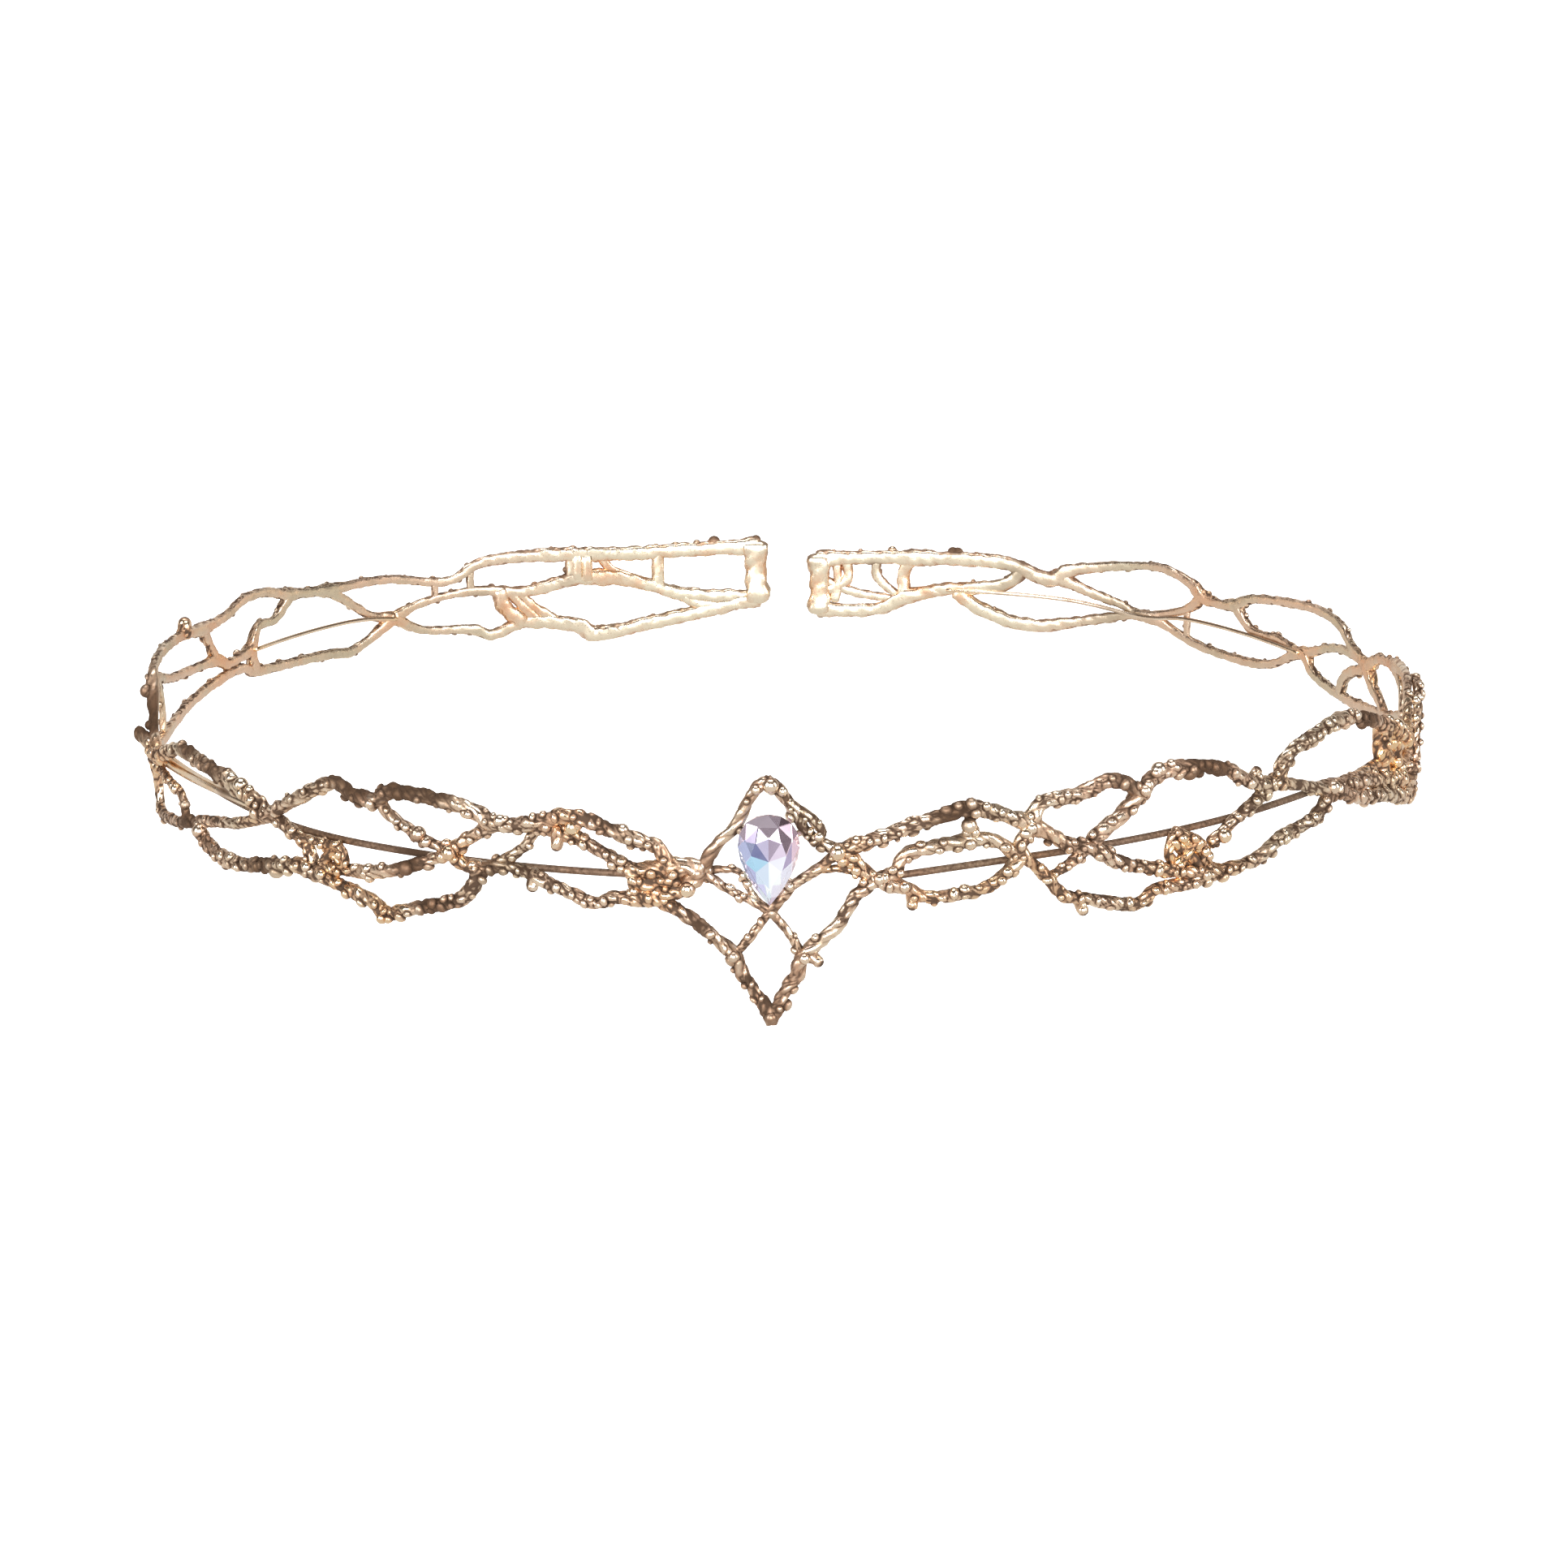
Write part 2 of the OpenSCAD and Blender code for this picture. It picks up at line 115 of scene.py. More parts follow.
MOTIF_VINES: tuple[Vine, ...] = (
    Vine(1.3, 0, BARK, "apex -1.25,8.25 -2.5,5 -4,3 left_corner"),
    Vine(1.3, 0, BARK, "apex 1.25,8 2.5,5 3.5,3.5 right_corner"),
    Vine(1.2, 0.4, TWIG, "1.5,7.5 3.25,5.75 4,4.25 3.25,3.25"),
    Vine(1, 0, TWIG, "left_corner -3,-1.75 -1.5,-2.75 waist"),
    Vine(0.8, -0.3, TWIG, "left_corner -2.5,0.25 -1.75,-1.25 -1,-2.75 waist"),
    Vine(1.2, 0, TWIG, "right_corner 3.75,0.5 1.75,-1.25 waist"),
    Vine(1, 0, TWIG, "waist -1,-5.75 -1.75,-7 left_shoulder"),
    Vine(1, 0, TWIG, "waist 1,-5.5 1.75,-7 right_shoulder"),
    Vine(1.5, 0.2, BARK,
         "left_yoke -6,-4.75 -5,-5.75 left_shoulder -2.25,-10.25 -1.5,-11.75 -0.75,-13.25 "
         "tip"),
    Vine(1.5, 0.2, BARK,
         "right_yoke 6.5,-2.5 5.25,-5.25 right_shoulder 2,-10.75 1.25,-12 0.75,-13.5 tip"),
    Vine(2, 0.2, BARK, "left_corner -6.5,0.75 -8,0.5 -10.75,0"),
    Vine(2, 0.2, BARK, "left_corner -6.25,-1 -7.5,-2 left_yoke -10.75,-2.75"),
    Vine(2, 0.4, BARK, "-6.5,0.5 -8,-0.75 -10.5,-1"),
    Vine(0.9, -0.2, TWIG, "3.75,0.25 5.75,0.25 right_yoke"),
    Vine(1.5, 0.2, BARK, "right_corner 6.5,1.25 7.25,0 right_yoke"),
)

LEFT_WING_VINES: tuple[Vine, ...] = (
    Vine(1.7, 0.4, BARK,
         "-7.5,0.5 -8.5,2.75 -11,3.75 L1 -18.5,4.5 L4 -24,5.5 -30.5,6.25 L7 -35,5 -37,6 "
         "-41,3.5 L9"),
    Vine(1.5, -0.1, BARK, "-10,0 -12,1.25 L2 -18.5,4.25"),
    Vine(1.2, 0, BARK, "L1 L2"),
    Vine(1.2, -0.2, TWIG, "-18,4.5 -19.5,1.5 L5"),
    Vine(1.5, 0, BARK, "L4 -23.5,2.5 L6 -24.5,-0.75 L5"),
    Vine(1.3, 0, BARK, "L5 -21,-0.5 L3"),
    Vine(1.5, 0.3, BARK, "L3 -17,-1.75 -13.5,-3.5 -12,-2.75 left_yoke"),
    Vine(1.7, 0.3, BARK,
         "L5 -24.5,-4.25 -28,-5.75 -32,-7.25 -33.5,-6.25 L8 -43,-4.5 -49.5,-6.25 -54,-6.25 "
         "-58,-4.75"),
    Vine(1.3, 0, BARK, "L6 -28,1.25 -31.5,3.5 L7"),
    Vine(1.5, 0.2, BARK, "L6 -29,-1.5 -33,-3 -38,-3.75 L8"),
    Vine(1.5, 0, BARK, "L9 -42,-1 -40.5,-2.5 L8"),
    Vine(1.1, 0.4, TWIG, "-42,-1 -39,-1 -36.5,-1.25 -36.25,-3 -38,-3.5"),
    Vine(1.8, 0.4, BARK, "L9 -48,2 -55.5,3.5 -61.5,3.5 -68,1 L10"),
    Vine(1.2, 0.2, TWIG, "L10 -67,-1.5 -62,-2 -61,-4.5"),
)

LEFT_BACK_VINES: tuple[Vine, ...] = (
    Vine(1.7, 0, LIMB,
         "L9 -50,-1.75 -57,-3.5 -61,-5 -67,-6.5 -73,-7 L10 -78.5,1.5 L11 -83.5,7 -94,7.25 "
         "L12 -107,6.75 -110.5,8 -114.5,8 L15 L16 -132.5,5.75 -140.5,4 -145,6 -153,6 "
         "-162,5.25 left_end_top"),
    Vine(1.6, 0, LIMB, "L11 -84.5,5.25 -91.5,3 -99,2 L13 -107,0.25 L14"),
    Vine(1.8, 0, LIMB,
         "L10 -85,-3 -92,-2.75 -100,-1.75 -109,-1 -112.5,-2.25 -124,-3 -128,-3.25 L17"),
    Vine(1.5, 0, LIMB, "L12 -102.5,5 L13"),
    Vine(1.6, 0, LIMB, "L15 -116,4 -113,3.75 L14"),
    Vine(2.4, 0, LIMB, "-111.25,1.5 -112,-2"),
    Vine(1.3, 0, LIMB, "-85,5 -87,1.5 -87,-2.25"),
    Vine(1.6, 0, LIMB, "L16 -128,3 -130.5,1 L17"),
    Vine(1.6, 0, LIMB,
         "L17 -137.5,1.5 -144,2 -150,1 -155.5,2 L18 -163.5,0.75 -168.5,-1.25 -176,-2"),
    Vine(1.7, 0, LIMB,
         "L17 -137.5,-2.5 -143.5,-3.5 -146,-4.75 -150,-3.5 -156,-4.75 left_foot "
         "-164.5,-5.25 -170.5,-4 left_end_bottom"),
    Vine(1.3, 0, LIMB, "-139,4.25 -139,1.75"),
    Vine(1.3, 0, LIMB, "-143.5,5 -143.5,2"),
    Vine(1.3, 0, LIMB, "-155.5,6 -155.5,2"),
    Vine(1.5, 0, LIMB, "-165.5,5.25 -165.5,0"),
    Vine(2.2, 0, LIMB, "-147,1.5 -147.5,-0.75 -149.5,-3.5"),
    Vine(2.4, 0, LIMB, "left_end_top left_end_bottom"),
)

RIGHT_WING_VINES: tuple[Vine, ...] = (
    Vine(1.7, 0.3, BARK, "right_corner 7,3 9.5,4 12.5,5.25 R1 18.5,4.75 R4 23,1.5 R5"),
    Vine(1.7, 0.1, BARK, "R4 21.25,5.75 24.5,6.25 27.5,7.25 R6"),
    Vine(1.7, 0, BARK, "R6 28.5,3.5 26.5,1.75 R5"),
    Vine(1.5, 0, BARK, "right_yoke 9.5,-0.25 10.75,1.75 R2 17.5,2.25 R3"),
    Vine(1.2, 0, BARK, "R1 R2"),
    Vine(1.5, 0.3, BARK,
         "R4 19.5,1.75 19.75,0.5 21.5,-1.75 23.25,-4.25 26,-5.25 29.75,-6.5 31.5,-5.25 "
         "35.5,-5.25 R8"),
    Vine(1.5, 0.2, BARK, "right_yoke 10.5,-2 12,-3 16,-2.75 18.25,-1.25 R3"),
    Vine(1.2, 0, BARK, "R5 23.5,-1.25 22,-2.25"),
    Vine(1.6, 0.3, BARK, "R5 28.5,-1.75 33,-3.5 R8 42.5,-4.5 45.5,-3 50.5,-2 R9"),
    Vine(1.4, 0, BARK, "33.5,0.5 36,-1.25 36.75,-3.5 R8"),
    Vine(1.7, 0.4, BARK,
         "R6 31.5,7 34.5,7.5 38.5,6.25 41.5,4.25 R7 46.5,6.25 53.5,8 59.5,6.5 67.5,2.75 "
         "R10"),
    Vine(1.5, 0.2, BARK, "R7 42.5,2 40,0.5 37.25,-1.5"),
    Vine(1.7, 0.8, BARK, "R9 56,-1.25 60,-2.5 64.5,-3.75 72,-6.5 78,-5 83,-2.25"),
    Vine(2.4, 0.1, BARK, "63.75,4.5 64,-1"),
    Vine(1.5, 0.3, BARK, "66,3.5 69,-1 71.5,-6.5"),
    Vine(1.8, 0.3, BARK, "54.5,0.25 60,-0.75 68,-3.25 73,-5"),
    Vine(1.4, 1.2, BARK, "86,3.5 82,3 79.5,0 78,-4"),
)

RIGHT_BACK_VINES: tuple[Vine, ...] = (
    Vine(1.7, 0, LIMB,
         "R7 48.5,2 R9 62,0.25 69,0 R10 79,2 84,4 R11 97,2.5 R12 104.5,2 107.5,4.25 113,5 "
         "122.5,4 R14 128.5,2.25 R15 132,4.25 136,5.75 141,5.25 147.5,3.75 R17 151,2.25 "
         "156,4 R18 right_end_top"),
    Vine(1.7, 0, LIMB,
         "R10 84,-1.75 88,-2 92,-3.5 96,-4.25 105,-5.25 112,-4 R13 119.5,-4.25 124,-5 "
         "131,-4.25 R16 143.5,-2.75 152,-5 157.5,-3.5 161,-1"),
    Vine(1.6, 0, LIMB, "R11 87,1.5 86.5,-1.5"),
    Vine(1.8, 0, LIMB, "R12 99,-1.5 96.75,-2.75 95.25,-4"),
    Vine(1.6, 0, LIMB, "R12 107.5,1 R13 118.5,-0.75 123,-0.5 R14"),
    Vine(2, 0, LIMB, "98,2.25 101,0.25 105.5,-2 107,-4.75"),
    Vine(1.6, 0, LIMB, "R15 132.5,0.5 R16 141.5,-0.25 145.5,1 R17"),
    Vine(1.6, 0, LIMB, "153.25,3 156,0.5 162,-0.5 R19 170.5,-4 right_end_bottom"),
    Vine(1.4, 0, LIMB, "R18 167,1.75 R19"),
    Vine(1.2, 0, LIMB, "170,3.75 170,1 168,-1.5"),
    Vine(1.3, 0, LIMB, "173.5,3.75 173.5,0.25 176.5,-1.5"),
    Vine(1.3, 0, LIMB, "132.5,0.5 132.5,-4"),
    Vine(2.2, 0, LIMB, "right_end_top right_end_bottom"),
)

# Thin wires behind the vines: in the left wing, left back, right wing and right back.
CORE_WIRES: tuple[str, ...] = (
    "-7,-0.5 -28,-0.5 -42,-0.5 -58,0.5 -66,0 L10",
    "L14 -127,1 L17",
    "right_yoke 20,0 44,0.5 R9",
    "R13 131,-0.75 R16 148,-0.5 162,-0.5",
)

# Berries on the vines: (angle, height).
BERRIES: tuple[Spot, ...] = (
    (0.25, 9.25), (5.25, 2.25), (-6.25, -1.25), (-9, 0.75), (-15, 4.5), (-25.5, 0.5),
    (-29.5, -1.75), (-28.5, 2.25), (-44.5, -6), (-49, 2.75), (-57, -4.75), (-81, 4.75),
    (15.25, 4.25), (31.5, 7.5), (34.5, 6.75), (38.25, -0.75), (50.25, 2.5), (67, 3.25), (76, 0.75),
    (-172, 6.25), (161, 4.75),
)

# Thorns: (angle and height of the foot, the same of the tip, how far out the tip stands).
THORNS: tuple[tuple[float, float, float, float, float], ...] = (
    (-16.25, 4, -16.5, 1.5, 0.5), (-18.5, -0.75, -18.5, -3, 0.5), (-51.25, 2.5, -51.5, 4.25, 0.5),
    (-52.5, -6.25, -52.5, -7.75, 0.5), (-75.5, -1, -78.5, 0.5, 2), (-96.5, 7, -97.25, 8.75, 0),
    (3, -8.75, 4, -9.5, 0.5), (11, -2.75, 10.75, -4.25, 0.5), (24.5, -5, 25, -6.75, 0.5),
    (42, 4.25, 42.25, 5.75, 0.5),
)

# Lugs behind the crystal: (angle and height of the foot, the same of what the lug points at).
LUGS: tuple[tuple[float, float, float, float], ...] = (
    (-2.5, 5, -1.25, 4), (3, 4.5, 1.5, 3.5), (-1.75, -1.25, -0.75, -0.25),
    (1.75, -1.25, 0.75, -0.25),
)

# Grains and buds that the casting has besides its berries: (angle, height, width).
BUDS: tuple[tuple[float, float, float], ...] = (
    (-29.4, -1.7, 1.2), (-28.2, 2.6, 1.1), (-29.5, 2.5, 1.0), (-32.2, -7.5, 1.3),
    (-33.5, -3.9, 1.2), (-44.6, -6.7, 1.3), (-60.2, 4.4, 1.2), (-12.2, 0.4, 1.2),
    (-8.4, -1.4, 1.4), (-7.3, 0.2, 1.3), (-10.2, -1.9, 1.3), (-23.4, 5.2, 1.1),
    (-38.5, -4.6, 1.3), (-36.4, -1.6, 1.2), (-46.2, 0.9, 1.5), (-42.8, -4.9, 1.3),
    (14.9, 3.5, 1.1), (15.8, 3.6, 1.1), (15.4, 6.3, 1.4), (14.4, 6.2, 1.1), (16.4, 6.0, 1.1),
    (31.3, 7.2, 1.3), (32.7, 7.9, 1.2), (33.4, 7.2, 1.3), (34.7, 7.4, 1.2), (34.9, 6.0, 1.3),
    (35.5, 5.6, 1.2), (34.6, -1.9, 1.0), (35.4, -2.2, 1.0), (44.3, -4.4, 1.2), (50.8, 5.7, 1.1),
    (65.5, -2.8, 1.3), (38.3, -4.2, 1.3), (36.9, -2.8, 1.2), (46.2, 5.4, 1.2), (44.9, 3.4, 1.3),
    (53.4, 0.7, 1.3), (58.9, -3.2, 1.2), (61.5, 0.6, 1.3), (63.2, 3.9, 1.3), (66.0, 0.2, 1.3),
    (68.4, -1.6, 1.4), (69.4, 2.2, 1.3), (71.0, -3.4, 1.4), (72.0, 0.6, 1.4), (73.4, -5.6, 1.3),
    (74.2, 1.2, 1.3), (77.2, -4.6, 1.4), (78.4, 1.6, 1.3), (80.6, -3.2, 1.3), (84.4, 3.6, 1.2),
    (70.2, -6.0, 1.3), (67.8, -4.8, 1.2), (-176.0, 5.6, 1.5), (-168.4, 5.5, 1.2),
    (-155.5, 2.2, 1.2), (145.8, 4.2, 1.2), (166.0, 4.3, 1.3), (171.6, 3.9, 1.2),
    (119.0, 0.0, 1.1), (-109.2, 1.2, 1.2), (-75.4, -0.8, 1.6), (-78.2, 1.4, 1.3), (5.6, 1.4, 1.3),
    (8.2, -0.8, 1.3), (6.6, 0.4, 1.2), (3.8, 3.9, 1.1), (0.2, -4.1, 1.3), (-2.8, -8.4, 1.3),
    (2.6, -8.6, 1.3), (0.1, -14.9, 1.3), (64.9, 4.8, 1.4), (71.5, -1.3, 1.5), (63.5, -1.3, 1.3),
    (67.8, -1.9, 1.4), (58.1, 5.6, 1.2), (55.9, 7.8, 1.2), (54.4, 7.6, 1.3), (49.8, 2.9, 1.1),
    (51.5, 2.5, 1.2), (53.0, -0.4, 1.2), (74.8, -2.7, 1.4), (66.0, 0.8, 1.6), (73.3, -0.2, 1.3),
    (69.5, -3.7, 1.4), (79.4, 4.0, 1.4), (82.0, -0.6, 1.3), (82.6, -4.0, 1.3), (36.3, -4.5, 1.3),
    (34.4, -1.2, 1.1), (33.9, -2.8, 1.2), (-71.5, -5.8, 1.6), (-62.8, -1.5, 1.4),
    (-60.6, -2.6, 1.3), (-57.4, -2.9, 1.2), (-50.5, 3.6, 1.2), (-49.0, 3.4, 1.1),
    (-47.6, 2.9, 1.1), (-86.5, 3.4, 1.7), (-67.0, 1.0, 1.5), (-171.9, 6.9, 1.8),
    (-176.6, 6.6, 1.5), (168.5, 5.2, 1.4), (166.5, 5.4, 1.6), (161.5, 5.0, 1.6),
    (-170.0, 6.0, 1.2), (-0.9, 8.9, 1.1), (1.1, 8.7, 1.1), (-20.9, 4.2, 1.4), (-25.2, 1.0, 1.3),
    (25.2, 0.8, 1.4), (20.3, 3.4, 1.3), (30.0, 5.6, 1.4), (-32.6, 4.9, 1.3), (-40.2, -4.2, 1.3),
)

# Places where the metal is coppery (tone above 0), and painted shade that darkens it (tone
# below 0): (angle, height, reach, tone).
TONE_SPOTS: tuple[tuple[float, float, float, float], ...] = (
    (-8.5, -1.2, 3.5, 0.9), (-40.5, -3.0, 3.0, 0.9), (-36.5, -5.2, 2.5, 1.0),
    (-31.8, -7.1, 2.5, 1.0), (-37.5, 4.6, 2.2, 0.8), (-36.8, -1.6, 2.0, 0.8),
    (-47.7, 0.2, 2.5, 0.8), (-67.0, 1.0, 3.0, 1.0), (-62.5, 0.3, 2.5, 0.7),
    (-56.0, 0.5, 2.0, 0.6), (-74.5, -1.0, 4.0, 0.9), (-70.0, -3.0, 2.5, 0.9),
    (-86.0, -2.6, 4.0, 0.5), (-104.5, 1.5, 4.0, 1.0), (-96.0, 6.8, 3.0, 0.8),
    (-112.0, 1.0, 2.5, 0.8), (-133.0, 0.0, 3.0, 0.8), (6.0, 1.5, 2.5, 0.8),
    (-15.2, 5.0, 2.5, 0.8), (-25.0, 0.0, 2.5, 0.8), (12.0, -3.0, 2.5, 0.8),
    (16.9, -2.5, 2.2, 0.8), (20.9, 0.0, 2.5, 0.9), (33.7, -1.9, 2.5, 0.9), (30.8, -4.8, 2.5, 0.9),
    (38.5, -3.0, 3.0, 0.9), (45.0, 3.4, 2.0, 0.8), (72.0, -1.5, 5.0, 1.0), (66.0, 0.8, 3.5, 1.4),
    (62.0, 2.0, 3.0, 0.9), (76.0, 1.0, 4.0, 0.7), (93.0, 1.5, 5.0, 1.0), (100.5, 0.8, 3.5, 1.0),
    (114.0, -1.0, 3.0, 0.8), (130.0, 2.5, 2.5, 0.8), (0.2, -4.0, 1.8, -0.35),
    (2.2, -9.2, 1.6, -0.3), (23.0, -4.0, 2.5, 0.7), (-147.8, -1.5, 2.5, 0.9),
    (-151.2, -1.5, 2.0, 0.9), (-157.0, 3.7, 1.8, 0.7), (-160.0, 2.7, 2.0, 1.0),
    (-163.0, 1.2, 2.0, 0.7), (-165.6, 4.4, 1.8, 0.6), (-171.0, 4.2, 1.8, 0.6),
    (-176.5, 2.3, 2.0, 0.7), (177.0, -0.6, 2.6, 0.8), (174.0, 1.2, 1.6, 0.8),
    (166.6, 0.7, 1.6, 0.8), (164.8, -0.7, 1.8, 0.9), (160.6, -0.8, 2.0, 0.8),
    (-36.7, 6.5, 2.4, -1.0), (-34.2, 5.4, 1.8, -1.0), (-29.6, 6.6, 2.8, -1.0),
    (-26.4, 6.4, 1.8, -0.9), (-58.5, 4.8, 2.2, -0.9), (-53.6, 2.8, 2.4, -0.9),
    (-60.2, -4.5, 3.0, -0.8), (-39.6, -4.4, 2.0, -0.9), (-46.4, -6.0, 2.6, -0.8),
    (-29.4, -1.3, 2.2, -0.9), (-27.1, -5.6, 2.4, -0.8), (-22.0, -1.0, 1.8, -0.7),
    (-12.5, 4.6, 2.0, -0.7), (-79.5, 2.0, 4.0, -0.9), (-78.0, 0.2, 2.5, -1.0),
    (13.7, 5.2, 2.0, -1.0), (15.1, 6.8, 1.4, -0.7), (35.4, 7.3, 2.2, -0.9),
    (28.4, 7.2, 2.4, -0.6), (37.6, 7.1, 2.0, -0.8), (58.7, 6.8, 2.6, -0.9),
    (43.6, -0.5, 2.0, -0.6), (53.1, -2.3, 2.2, -0.7), (-2.8, -8.6, 1.8, -0.35),
    (0.0, -14.4, 2.0, -0.6), (-1.4, -11.6, 1.4, -0.35), (1.4, -11.8, 1.4, -0.3),
    (-1.3, 8.0, 1.6, -0.3), (-2.4, 6.2, 1.2, -0.25), (0.2, 10.0, 1.2, -0.2), (4.3, 0.4, 1.4, 0.5),
    (34.6, -1.6, 2.0, 0.7), (-37.6, -1.9, 1.6, 0.6), (79.0, -4.5, 2.5, -0.5),
    (-4.6, 1.8, 2.0, -0.5), (3.9, 2.6, 1.8, -0.5), (-5.6, -5.4, 1.8, -0.7),
    (-155.0, 2.4, 1.3, -0.6), (-171.9, 7.4, 1.5, -0.7), (-176.6, 6.9, 1.3, -0.7),
    (176.9, 2.9, 1.6, -0.6), (170.4, 2.6, 1.2, -0.5), (155.8, 0.5, 1.6, -0.5),
    (153.8, 3.2, 2.0, -0.6), (150.4, 2.9, 1.5, -0.4), (142.5, -1.0, 3.0, -0.4),
    (-144.5, 2.4, 2.5, -0.4), (166.5, 6.0, 1.2, -0.7), (161.2, 5.6, 1.2, -0.7),
)
# How far from its middle a tone spot is still reckoned with.
SPOT_RANGE = 9.0


class Seed(NamedTuple):
    """A grain on a vine: the distance along it, the angle round it and the grain's width."""

    along: float
    turn: float
    width: float


class Station(NamedTuple):
    """A place along a vine: its middle, the directions across and out of it, and its size."""

    middle: Vector
    side: Vector
    out: Vector
    along: float
    half: float


class Strand(NamedTuple):
    """A strand between the vines: its stops, end widths, how far out it lies and its surface."""

    stops: str
    widths: tuple[float, float]
    lift: float
    surface: Surface = LIMB


# Strands in the crowded places of each stretch.
LEFT_WING_STRANDS: tuple[Strand, ...] = (
    Strand("-48,0.25 -53,0.5 -58,0.5 -66,0 -73,-1", (0.9, 1.7), -0.7, WIRE),
    Strand("-38.9,-0.9 -38.2,-1.9 -36.5,-2.9", (1.3, 1.5), -0.1, BARK),
    Strand("-36.7,-0.9 -37.6,-1.7 -38.7,-3.2", (1.3, 1.5), 0.2, BARK),
)
RIGHT_WING_STRANDS: tuple[Strand, ...] = (
    Strand("63.8,3.4 66,2 72,-0.2 78,-1", (2.0, 2.2), -0.2, WIRE),
    Strand("65.5,1.5 69,-1.5 74,-3.4", (1.8, 1.6), -0.3, WIRE),
    Strand("62,-2.4 67,-2.9 74,-2.6 82,-3.4", (1.6, 1.6), 0.2),
    Strand("33.4,0.3 33.0,-1.6 33.6,-3.2", (1.1, 1.2), 0.0, BARK),
    Strand("34.6,-0.2 34.5,-1.8 34.9,-3.6", (1.2, 1.3), -0.2, BARK),
    Strand("33.3,-0.4 34.7,-1.9 36,-3.6", (1.3, 1.5), 0.1, BARK),
    Strand("35.8,-0.8 34.8,-1.9 33.6,-3.2", (1.3, 1.5), 0.3, BARK),
)
LEFT_BACK_STRANDS: tuple[Strand, ...] = (
    Strand("-156.2,5.4 -156.2,2.2", (1.8, 1.8), -0.2, WIRE),
    Strand("-157.3,5.2 -157.3,2", (1.8, 1.8), -0.3, WIRE),
    Strand("-159.2,5 -160.2,3 -163,1.4", (1.6, 1.3), 0),
    Strand("-149.5,0.8 -151,-1.4 -153.5,-3.6", (1.6, 1.8), 0),
    Strand("-148.2,1.2 -149.6,-1 -151.4,-3.4", (1.6, 1.8), 0),
    Strand("-167.5,-0.9 -169.6,-2.6 -172.5,-3.4", (1.6, 1.8), -0.1),
)
RIGHT_BACK_STRANDS: tuple[Strand, ...] = (
    Strand("174.6,3.4 174.4,0 174.8,-2.6", (1.4, 1.6), -0.1),
    Strand("176,0.4 172.6,-1.4 168.5,-2.2", (1.6, 1.4), 0),
)


@dataclass(frozen=True)
class Relief:
    """The raised pattern of a vine's outward face.

    Small pearls of metal lie packed over ridges that turn slowly round the vine, worn smooth in
    places, and larger seed grains stand on them in uneven clumps. Depths are shares of the half
    thickness, and a scale says how close the noise of a form lies.
    """

    sides: int
    step: float
    groove: float = 0.0
    pitch: float = 1.0
    pearl: float = 1.0
    pearl_depth: float = 0.0
    swell: float = 0.0
    seed_every: float = 0.0
    seed_width: float = 0.0
    slim: float = 1.0
    knot: float = 0.0
    wear: float = 0.65
    wear_start: float = 0.1
    wear_slope: float = 1.9
    ridges: int = 3
    rim: float = 0.45
    wander: float = 1.1
    dent_share: float = 0.6
    wear_scale: float = 0.14
    wander_scale: float = 0.4
    swell_scale: float = 0.45
    dent_scale: float = 1.3

    def shape(self, station: Station, turn: float, offset: float) -> tuple[float, float]:
        """How thick the vine is at a place on its surface, and how deep in a groove that is.

        Args:
            station: the section of the vine.
            turn: angle round it in radians, 0 outwards.
            offset: where in the pattern this vine starts.

        Returns:
            The share of the half thickness, and the recess from 0 to 1, which the finish paints as
            shade and dark patina.
        """
        if self.groove == 0:
            return 1.0, 0.0
        way = station.side * math.sin(turn) + station.out * math.cos(turn)
        place = station.middle + way * station.half
        near = noise.voronoi(place / self.pearl)[0]
        wall = min(1.0, (near[1] - near[0]) / self.rim)
        smooth = -self.wear_slope * noise.noise(place * self.wear_scale)
        worn = min(self.wear, max(0.0, smooth - self.wear_start))
        dome = 1 - (1 - worn) * (1 - math.sqrt(1 - (1 - wall) ** 2))
        wander = self.wander * noise.noise(place * self.wander_scale)
        wound = turn - math.tau * (station.along + offset) / self.pitch
        ridge = abs(math.cos(self.ridges / 2 * wound + wander))
        share = 1 - self.groove * (1 - ridge**0.6) - self.pearl_depth * (1 - dome)
        dents = self.dent_share * noise.noise(place * self.dent_scale)
        share += self.swell * (noise.noise(place * self.swell_scale) + dents)
        recess = max(0.8 * (1 - ridge) ** 1.7, (1 - worn) * (1.1 - 1.9 * wall))
        return share, min(1.0, recess)


RELIEFS: dict[Surface, Relief] = {
    BARK: Relief(
        sides=24, step=0.25, groove=0.24, pitch=6.6, pearl=1.3, pearl_depth=0.26, swell=0.22,
        seed_every=1.7, seed_width=1.0, slim=1.03, knot=0.14,
    ),
    TWIG: Relief(
        sides=18, step=0.26, groove=0.18, pitch=5.0, pearl=1.05, pearl_depth=0.24, swell=0.2,
        seed_every=1.7, seed_width=0.8, knot=0.1, wear=0.2,
    ),
    LIMB: Relief(
        sides=18, step=0.36, groove=0.16, pitch=7.4, pearl=1.3, pearl_depth=0.16, swell=0.16,
        seed_every=3.6, seed_width=0.86, slim=0.84, knot=0.4,
    ),
    WIRE: Relief(sides=10, step=0.9),
}


